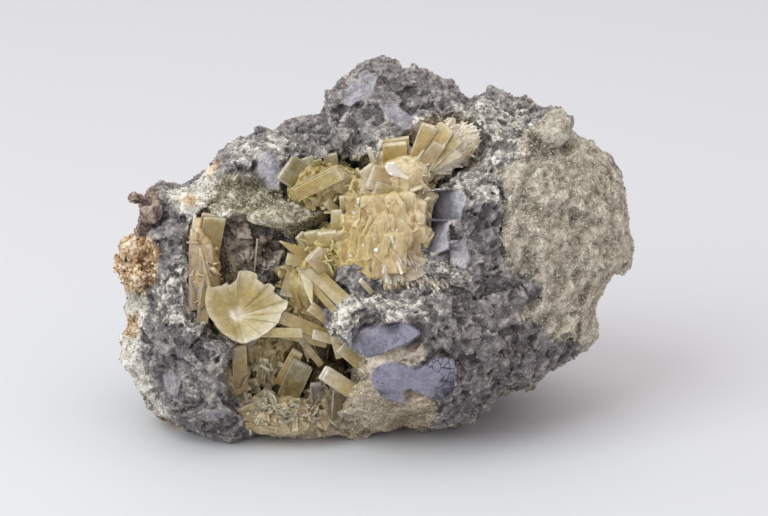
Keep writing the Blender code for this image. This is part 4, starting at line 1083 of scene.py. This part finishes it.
def nodeMaker(name):
    material = bpy.data.materials.new(name)
    material.use_nodes = True
    tree = material.node_tree
    shader = tree.nodes["Principled BSDF"]

    def add(kind, settings=None, inputs=None):
        made = tree.nodes.new(kind)
        for key, value in (settings or {}).items():
            setattr(made, key, value)
        for key, value in (inputs or {}).items():
            feed(made, key, value)
        return made

    return material, tree, shader, add


def srgb(code):  # a linear colour
    parts = np.array([int(code[place:place + 2], 16) / 255 for place in (0, 2, 4)])
    linear = np.where(parts <= 0.04045, parts / 12.92, ((parts + 0.055) / 1.055) ** 2.4)
    return (*linear.tolist(), 1.0)


def addRamp(add, factor, stops):
    ramp = add("ShaderNodeValToRGB", inputs={"Fac": factor})
    elements = ramp.color_ramp.elements
    while len(elements) < len(stops):
        elements.new(0.5)
    for element, (place, code) in zip(elements, stops):
        element.position, element.color = place, srgb(code)
    return ramp.outputs["Color"]


def addNoise(add, where, size, detail, rough):
    made = add("ShaderNodeTexNoise", inputs={
        "Vector": where, "Scale": 1 / (size * mm), "Detail": detail, "Roughness": rough})
    return made.outputs["Fac"]


def addCells(add, where, size, feature="F1"):
    return add("ShaderNodeTexVoronoi", {"feature": feature}, {"Vector": where, "Scale": 1 / (size * mm)})


def addWarp(add, where, size, amount):  # a place shifted a little by noise, for ragged cells
    shift = add("ShaderNodeTexNoise", inputs={"Vector": where, "Scale": 1 / (size * mm), "Detail": 3.0})
    moved = add("ShaderNodeVectorMath", {"operation": "MULTIPLY_ADD"}, {
        0: shift.outputs["Color"], 1: (amount * mm,) * 3, 2: where})
    return moved.outputs[0]


def addMix(add, factor, first, second, blend="MIX"):
    made = add("ShaderNodeMix", {"data_type": "RGBA", "blend_type": blend})
    for index, value in ((0, factor), (6, first), (7, second)):
        feed(made, index, value)
    return made.outputs[2]


def addMath(add, operation, first, second=0.0, third=0.0):
    made = add("ShaderNodeMath", {"operation": operation})
    for index, value in enumerate((first, second, third)):
        feed(made, index, value)
    return made.outputs[0]


def addRange(add, value, low, high, toLow=0.0, toHigh=1.0):
    made = add("ShaderNodeMapRange", {"clamp": True}, {
        "Value": value, "From Min": low, "From Max": high, "To Min": toLow, "To Max": toHigh})
    return made.outputs["Result"]


def addField(add, name, output="Fac"):
    return add("ShaderNodeAttribute", {"attribute_name": name}).outputs[output]


# Tones from the darkest to the palest
rockTones = {
    "galena": [(0.16, "544f4e"), (0.34, "6a6665"), (0.50, "7f7a7a"), (0.64, "928e8b"), (0.82, "b4afa4")],
    "frost": [(0.25, "6f6a67"), (0.42, "8f8b86"), (0.56, "b3aea5"), (0.72, "dad6cb")],
    "strip": [(0.2, "a89a8a"), (0.5, "bcb0a0"), (0.8, "d0c6b8")],
    "inclusion": [(0.2, "9c8c7a"), (0.5, "bfae9a"), (0.8, "dccfbe")],
    # oval: the galena's grey with a painted bluish lavender reflection of the light above
    "oval": [(0.25, "5b5964"), (0.5, "6b6977"), (0.75, "7d7b89")],
    # painted light: lighter tones for the side cleavage faces, which turn away from the key lamp
    "facets": [(0.25, "94929c"), (0.5, "a6a4ae"), (0.75, "bab8c0")],
    # painted light: lighter tones for the lower oval, which tilts down away from the lamps
    "lowOval": [(0.25, "73717e"), (0.5, "888696"), (0.75, "9c9aaa")],
    "ovalShade": [(0.25, "57545c"), (0.5, "6a6670"), (0.75, "807c86")],
    "rind": [(0.2, "7d7464"), (0.42, "a59d8b"), (0.6, "beb7a6"), (0.82, "d8d3c5")],
    "white": [(0.2, "a39b8c"), (0.5, "cbc6ba"), (0.75, "e6e3dc")],
    "ochre": [(0.2, "6a5238"), (0.42, "a98a66"), (0.6, "c9b290"), (0.8, "e8dcc8")],
    "umber": [(0.25, "4a3a3e"), (0.5, "7c665c"), (0.75, "a89a8a")],
    "shelf": [(0.2, "544b38"), (0.42, "827a64"), (0.6, "a59e8a"), (0.85, "d0ccbe")],
    "beige": [(0.2, "857a6b"), (0.5, "aba18f"), (0.8, "ccc3b2")],
    # painted shadow in the recess under the shelf
    "dusk": [(0.2, "5a5048"), (0.5, "8e8276"), (0.8, "bfb5a6")],
    # dark galena with a painted shadow beside the rind's raised edge
    "dark": [(0.2, "4e4a4c"), (0.5, "6c686a"), (0.8, "8c888a")],
    # cleavage: the galena's grey with a painted bluish lavender reflection of the light above
    "cleavage": [(0.25, "6e6c76"), (0.5, "85838d"), (0.75, "9c9aa3")],
}


rockEdges = {  # what breaks an area's border up, by how much, and how far the area covers
    "white": ("speckled", 1.8, 1.0), "frost": ("speckled", 1.6, 1.0), "cleavage": ("ragged", 0.8, 0.7),
    "oval": ("ragged", 0.25, 1.0), "lowOval": ("ragged", 0.25, 1.0), "facets": ("ragged", 0.5, 0.9),
    "ovalShade": ("ragged", 0.4, 0.8), "strip": ("ragged", 0.4, 1.0),
}
usualEdge = ("ragged", 0.9, 1.0)
rockLayers = (  # each lies over the ones before it
    "frost", "shelf", "beige", "dusk", "dark", "rind", "white", "ochre", "umber", "cleavage", "facets",
    "strip", "oval", "lowOval", "ovalShade", "inclusion",
)
rockSurface = {  # sizes in millimetres
    "warp": (0.7, 0.5), "bigCells": 0.95, "smallCells": 0.42, "broad": 5.0, "fine": 0.35, "ragged": 1.6,
    "speckled": 0.7,
    "mottle": {"bigCells": 0.30, "smallCells": 0.28, "broad": 0.25, "fine": 0.35, "relief": 0.35},
    # shade: painted shade in the hollows, from its darkest to the plain tone
    "border": (0.46, 0.54), "dim": 0.85, "shade": (0.6, 1.06), "crackSize": 1.5, "cracked": 0.85,
    "crackTone": "2f2b2d", "metallic": 0.3, "shine": (0.28, 0.62), "stonyRougher": 0.35, "bump": 0.16,
}


def rockMaterial():
    material, tree, shader, add = nodeMaker("galenaAndRind")
    where = add("ShaderNodeTexCoord").outputs["Object"]
    look, mottle = rockSurface, rockSurface["mottle"]
    warped = addWarp(add, where, *look["warp"])
    bigCells, smallCells = addCells(add, warped, look["bigCells"]), addCells(add, warped, look["smallCells"])
    broad, fine = addNoise(add, where, look["broad"], 4, 0.6), addNoise(add, where, look["fine"], 4, 0.7)
    relief = addField(add, "relief")
    split = add("ShaderNodeSeparateColor", inputs={"Color": bigCells.outputs["Color"]})
    splitSmall = add("ShaderNodeSeparateColor", inputs={"Color": smallCells.outputs["Color"]})
    mottled = addMath(add, "MULTIPLY", splitSmall.outputs[0], mottle["smallCells"])
    mottled = addMath(add, "MULTIPLY_ADD", split.outputs[0], mottle["bigCells"], mottled)
    mottled = addMath(add, "SUBTRACT", addMath(add, "MULTIPLY_ADD", broad, mottle["broad"], mottled), 0.1)
    mottled = addMath(add, "MULTIPLY_ADD", fine, mottle["fine"], mottled)
    # partly painted shade: the relief field lifts the tone on raised parts and lowers it in hollows
    mottled = addMath(add, "MULTIPLY_ADD", addMath(add, "SUBTRACT", relief, 0.5), mottle["relief"], mottled)
    colour = addRamp(add, mottled, rockTones["galena"])
    noises = {
        "ragged": addMath(add, "SUBTRACT", addNoise(add, where, look["ragged"], 6, 0.8), 0.5),
        "speckled": addMath(add, "SUBTRACT", addNoise(add, where, look["speckled"], 5, 0.8), 0.5),
    }
    covers = {}
    for name in rockLayers:
        source, amount, most = rockEdges.get(name, usualEdge)
        edge = addMath(add, "MULTIPLY_ADD", noises[source], amount, addField(add, name))
        covers[name] = addRange(add, edge, *look["border"], 0.0, most)
        colour = addMix(add, covers[name], colour, addRamp(add, mottled, rockTones[name]))
    # darker areas: partly the galena's own tone, partly painted shade
    darkenedAndShaded = addMath(add, "MULTIPLY_ADD", noises["ragged"], 0.6, addField(add, "dim"))
    colour = addMix(add, 1.0, colour, addRange(add, darkenedAndShaded, 0.3, 0.7, 1.0, look["dim"]), "MULTIPLY")
    # painted shade: darker in the hollows and creases, by the relief field
    colour = addMix(add, 1.0, colour, addRange(add, relief, 0.15, 0.6, *look["shade"]), "MULTIPLY")
    stretched = add("ShaderNodeMapping", inputs={"Vector": where, "Scale": (1.5, 1.5, 0.35)}).outputs[0]
    cracks = addCells(add, addWarp(add, stretched, 1.5, 0.6), look["crackSize"], "DISTANCE_TO_EDGE")
    cracked = addMath(add, "MULTIPLY", addRange(add, cracks.outputs["Distance"], 0.03, 0.07, 1.0, 0.0),
                      addRange(add, addField(add, "crackle"), 0.48, 0.54, 0.0, look["cracked"]))
    colour = addMix(add, cracked, colour, srgb(look["crackTone"]))
    tree.links.new(colour, shader.inputs["Base Color"])
    stony = addMath(add, "MAXIMUM", covers["rind"], covers["white"])
    for name in ("ochre", "beige", "shelf", "umber", "strip", "inclusion"):
        stony = addMath(add, "MAXIMUM", stony, covers[name])
    metal = addMath(add, "MULTIPLY", addMath(add, "SUBTRACT", 1.0, stony), look["metallic"])
    tree.links.new(metal, shader.inputs["Metallic"])
    shine = addRange(add, split.outputs[1], 0.1, 0.9, *look["shine"])
    rough = addMath(add, "MULTIPLY_ADD", stony, look["stonyRougher"], shine)
    tree.links.new(rough, shader.inputs["Roughness"])
    height = addMath(add, "MULTIPLY_ADD", smallCells.outputs["Distance"], -0.6, fine)
    bump = add("ShaderNodeBump", inputs={"Height": height, "Strength": 0.85, "Distance": look["bump"] * mm})
    tree.links.new(bump.outputs["Normal"], shader.inputs["Normal"])
    return material


grainTones = {
    "rind": [(0.0, "8f8675"), (0.4, "b1a997"), (0.75, "c8c1b0"), (1.0, "e2ddcf")],
    "galena": [(0.0, "5c5857"), (0.35, "716d6c"), (0.7, "878383"), (0.9, "a09b96"), (1.0, "c4bfb4")],
    "shelf": [(0.0, "5a5036"), (0.35, "8e8465"), (0.7, "b5ae94"), (1.0, "e2ded0")],
    "crust": [(0.0, "7d6640"), (0.3, "a08d6c"), (0.75, "c4b69c"), (1.0, "ece4d2")],
    "nodules": [(0.0, "6d5030"), (0.3, "a67c4c"), (0.6, "c9a878"), (1.0, "e8dccc")],
}


grainSurface = {  # metallic, roughness
    "rind": (0.0, 0.6), "galena": (0.3, 0.38), "shelf": (0.0, 0.45), "crust": (0.0, 0.35),
    "nodules": (0.0, 0.5),
}


def grainMaterial(kind):
    material, tree, shader, add = nodeMaker(kind + "Grain")
    where = add("ShaderNodeTexCoord").outputs["Object"]
    fine = addNoise(add, where, 0.3, 3, 0.6)
    tone = addMath(add, "MULTIPLY_ADD", addField(add, "tone"), 0.85, -0.08)
    tone = addMath(add, "MULTIPLY_ADD", fine, 0.3, tone)
    tree.links.new(addRamp(add, tone, grainTones[kind]), shader.inputs["Base Color"])
    shader.inputs["Metallic"].default_value, shader.inputs["Roughness"].default_value = grainSurface[kind]
    bump = add("ShaderNodeBump", inputs={"Height": fine, "Strength": 0.4, "Distance": 0.06 * mm})
    tree.links.new(bump.outputs["Normal"], shader.inputs["Normal"])
    return material


glassLook = {  # clear: least and most see-through, reach: of the light inside, in millimetres
    "blades": {"clear": (0.25, 0.6), "roughness": 0.07, "reach": 0.3, "absorption": 20.0},
    "druse": {"clear": (0.1, 0.3), "roughness": 0.10, "reach": 0.3, "absorption": 20.0},
    "lining": {"clear": None, "roughness": 0.16, "reach": 0.7, "absorption": 0.0},
}
crystalTones = {
    # root: deeper tint in the thick root, paler to the tip, partly painted glow of light through the thin
    # tips
    "root": [(0.0, "f2e4bc"), (0.5, "fbf2dc"), (0.9, "ffffff")],
    # painted shade of the lining's hollows, from the deepest to the plain tint
    "hollow": [(0.15, "d4b88a"), (0.55, "fffaf0"), (0.8, "ffffff")],
    # the rim colour is the pale of the painted highlight along the blades' edges, and is also used for the
    # milky parts and the pale lines
    "cloud": "fff6e0", "rim": "fffaf0", "speck": "8a4c30", "depth": "f3dc98",
}
crystalSurface = {  # sizes in millimetres
    # rimFrom and rim: where the painted edge highlight begins on the blades, and how strong it is
    "index": 1.62, "cloudSize": 1.6, "cloud": 0.28, "rimFrom": 0.86, "rim": 0.45, "milky": 0.7, "lines": 0.25,
    "lineScale": (3.0, 0.35, 1.0), "speckCells": 1.7, "specks": 0.7, "veilSize": 0.9, "veilLines": 0.35,
    "milkyClear": 0.3, "fineSize": 0.3, "lineBump": (0.25, 0.06), "fineBump": (0.5, 0.1),
}


def crystalMaterial(kind):
    look, surface = glassLook[kind], crystalSurface
    material, tree, shader, add = nodeMaker("hemimorphite" + kind.capitalize())
    where = add("ShaderNodeTexCoord").outputs["Object"]
    colour = addField(add, "tint", "Color")
    cloud = addNoise(add, where, surface["cloudSize"], 5, 0.65)
    cloud = addRange(add, cloud, 0.42, 0.7, 0.0, surface["cloud"])
    colour = addMix(add, cloud, colour, srgb(crystalTones["cloud"]))
    if kind == "blades":
        stretched = add("ShaderNodeMapping", inputs={
            "Vector": addField(add, "grain", "Vector"), "Scale": surface["lineScale"]})
        height = add("ShaderNodeTexNoise", inputs={
            "Vector": stretched.outputs[0], "Scale": 1.0, "Detail": 4.0}).outputs["Fac"]
        across, along, milky = add("ShaderNodeSeparateXYZ", inputs={
            "Vector": addField(add, "place", "Vector")}).outputs
        sides = addRange(add, addMath(add, "ABSOLUTE", across), surface["rimFrom"], 1.0)
        # painted highlight: pale rims along the sides and the tip of each blade
        rim = addMath(add, "MAXIMUM", sides, addRange(add, along, surface["rimFrom"], 1.0))
        # deeper at the root, paler to the tip: partly painted glow of light through the thin tips
        colour = addMix(add, 1.0, colour, addRamp(add, along, crystalTones["root"]), "MULTIPLY")
        paleShares = [
            addMath(add, "MULTIPLY", rim, surface["rim"]), addMath(add, "MULTIPLY", milky, surface["milky"]),
            addRange(add, height, 0.5, 0.75, 0.0, surface["lines"]),
        ]
        for share in paleShares:
            colour = addMix(add, share, colour, srgb(crystalTones["rim"]))
        specks = addCells(add, where, surface["speckCells"]).outputs["Distance"]
        specks = addRange(add, specks, 0.05, 0.09, surface["specks"], 0.0)
        colour = addMix(add, specks, colour, srgb(crystalTones["speck"]))
        veil = addNoise(add, where, surface["veilSize"], 4, 0.65)
        veil = addMath(add, "MULTIPLY", veil, 1 - surface["veilLines"])
        veil = addMath(add, "MULTIPLY_ADD", height, surface["veilLines"], veil)
        clear = addMath(add, "MULTIPLY", addRange(add, veil, 0.35, 0.65, *look["clear"]),
                        addRange(add, milky, 0.0, 1.0, 1.0, surface["milkyClear"]))
        glow = addRange(add, milky, 0.0, 1.0, 1.0, 0.0)  # less light scatters inside the milky ones
        strength, depth = surface["lineBump"]
    else:
        height = addNoise(add, where, surface["fineSize"], 4, 0.6)
        clear = addRange(add, height, 0.4, 0.6, *look["clear"]) if look["clear"] else 0.0
        glow = 1.0
        strength, depth = surface["fineBump"]
    if kind == "lining":
        # painted shade: the lining darker in its hollows, by the relief field
        hollow = addRamp(add, addField(add, "relief"), crystalTones["hollow"])
        colour = addMix(add, 1.0, colour, hollow, "MULTIPLY")
    bump = add("ShaderNodeBump", inputs={"Height": height, "Strength": strength, "Distance": depth * mm})
    values = {
        "Base Color": colour, "Normal": bump.outputs["Normal"], "Transmission Weight": clear,
        "IOR": surface["index"], "Roughness": look["roughness"], "Subsurface Weight": glow,
        "Subsurface Radius": (1.0, 1.0, 1.0), "Subsurface Scale": look["reach"] * mm,
    }
    for name, value in values.items():
        feed(shader, name, value)
    if look["absorption"]:
        volume = add("ShaderNodeVolumeAbsorption", inputs={
            "Color": srgb(crystalTones["depth"]), "Density": look["absorption"]})
        tree.links.new(volume.outputs["Volume"], tree.nodes["Material Output"].inputs["Volume"])
    return material


# Stage, light and camera

stageLook = {"floor": "d2d5d8", "roughness": 0.6, "size": 4.0, "air": "fcf1f3", "world": 0.82}
cameraLook = {"lens": 150.0, "sensor": 36.0, "distance": 0.4697, "target": (1.76, -0.59, 0.0)}
lampAim = (0, 0, 0.02)
lampLook = {  # place and size in metres
    "key": {"place": (-0.36, -0.30, 0.46), "size": 0.55, "power": 2.85, "tone": "f2feff"},
    "ceiling": {"place": (0.06, 0.10, 0.70), "size": 0.60, "power": 0.9, "tone": "f6fffc"},
}


def makeStage():
    shape = bmesh.new()
    bmesh.ops.create_grid(shape, x_segments=1, y_segments=1, size=stageLook["size"] / 2)
    floor = newObject("paleFloor", meshFrom(shape, "paleFloor"))
    material, tree, shader, add = nodeMaker("paleFloor")
    shader.inputs["Base Color"].default_value = srgb(stageLook["floor"])
    shader.inputs["Roughness"].default_value = stageLook["roughness"]
    floor.data.materials.append(material)
    world = bpy.data.worlds.new("studio")
    world.use_nodes = True
    background = world.node_tree.nodes["Background"]
    background.inputs["Color"].default_value = srgb(stageLook["air"])
    background.inputs["Strength"].default_value = stageLook["world"]
    bpy.context.scene.world = world
    for name, lamp in lampLook.items():
        light = bpy.data.lights.new(name, "AREA")
        light.size, light.energy, light.color = lamp["size"], lamp["power"], srgb(lamp["tone"])[:3]
        holder = newObject(name, light)
        holder.location = lamp["place"]
        holder.rotation_euler = (Vector(lampAim) - holder.location).to_track_quat("-Z", "Y").to_euler()


def makeCamera():
    camera = bpy.data.cameras.new("camera")
    camera.lens, camera.sensor_width, camera.clip_start = cameraLook["lens"], cameraLook["sensor"], 0.01
    holder = newObject("camera", camera)
    target = Vector(faceToWorld([cameraLook["target"]])[0])
    back = Vector((0, -math.cos(face["lean"]), math.sin(face["lean"])))
    holder.location = target + back * cameraLook["distance"]
    holder.rotation_euler = (-back).to_track_quat("-Z", "Y").to_euler()
    bpy.context.scene.camera = holder


def finishPiece(piece, node, material):
    piece.data.materials.append(material)
    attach(piece, "root")
    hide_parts(node)


makeCamera()
makeStage()
bpy.context.scene.view_settings.view_transform = "Standard"

rock, rockWeights = makeRock()
finishPiece(rock, "galena_matrix", rockMaterial())
covered = [rockWeights[name] for name in rockWeights if name not in ("frost", "dim")]
grainPieces = {  # the shape of a grain, and where the grains lie
    "rind": (crumbTemplate(1), rockWeights["rind"]),
    "galena": (cubeTemplate(), (1 - grainLook["bare"] * np.max(covered, axis=0)).clip(0, 1)),
    "shelf": (crumbTemplate(2), rockWeights["shelf"] + grainLook["onWhite"] * rockWeights["white"]),
    "crust": (crumbTemplate(4),
              rockWeights["beige"] * (1 - rockWeights["oval"]) * (1 - rockWeights["strip"])),
    "nodules": (crumbTemplate(3, 1.0), rockWeights["ochre"]),
}
for kind, (template, weight) in grainPieces.items():
    finishPiece(makeGrains(rock, kind, template, weight), "galena_matrix", grainMaterial(kind))

lining = makeLining()
druse = makeDruse(lining)
finishPiece(lining, "hemimorphite_crystals", crystalMaterial("lining"))
finishPiece(druse, "hemimorphite_crystals", crystalMaterial("druse"))
finishPiece(makeBlades(lining), "hemimorphite_crystals", crystalMaterial("blades"))
dropPockets(lining)
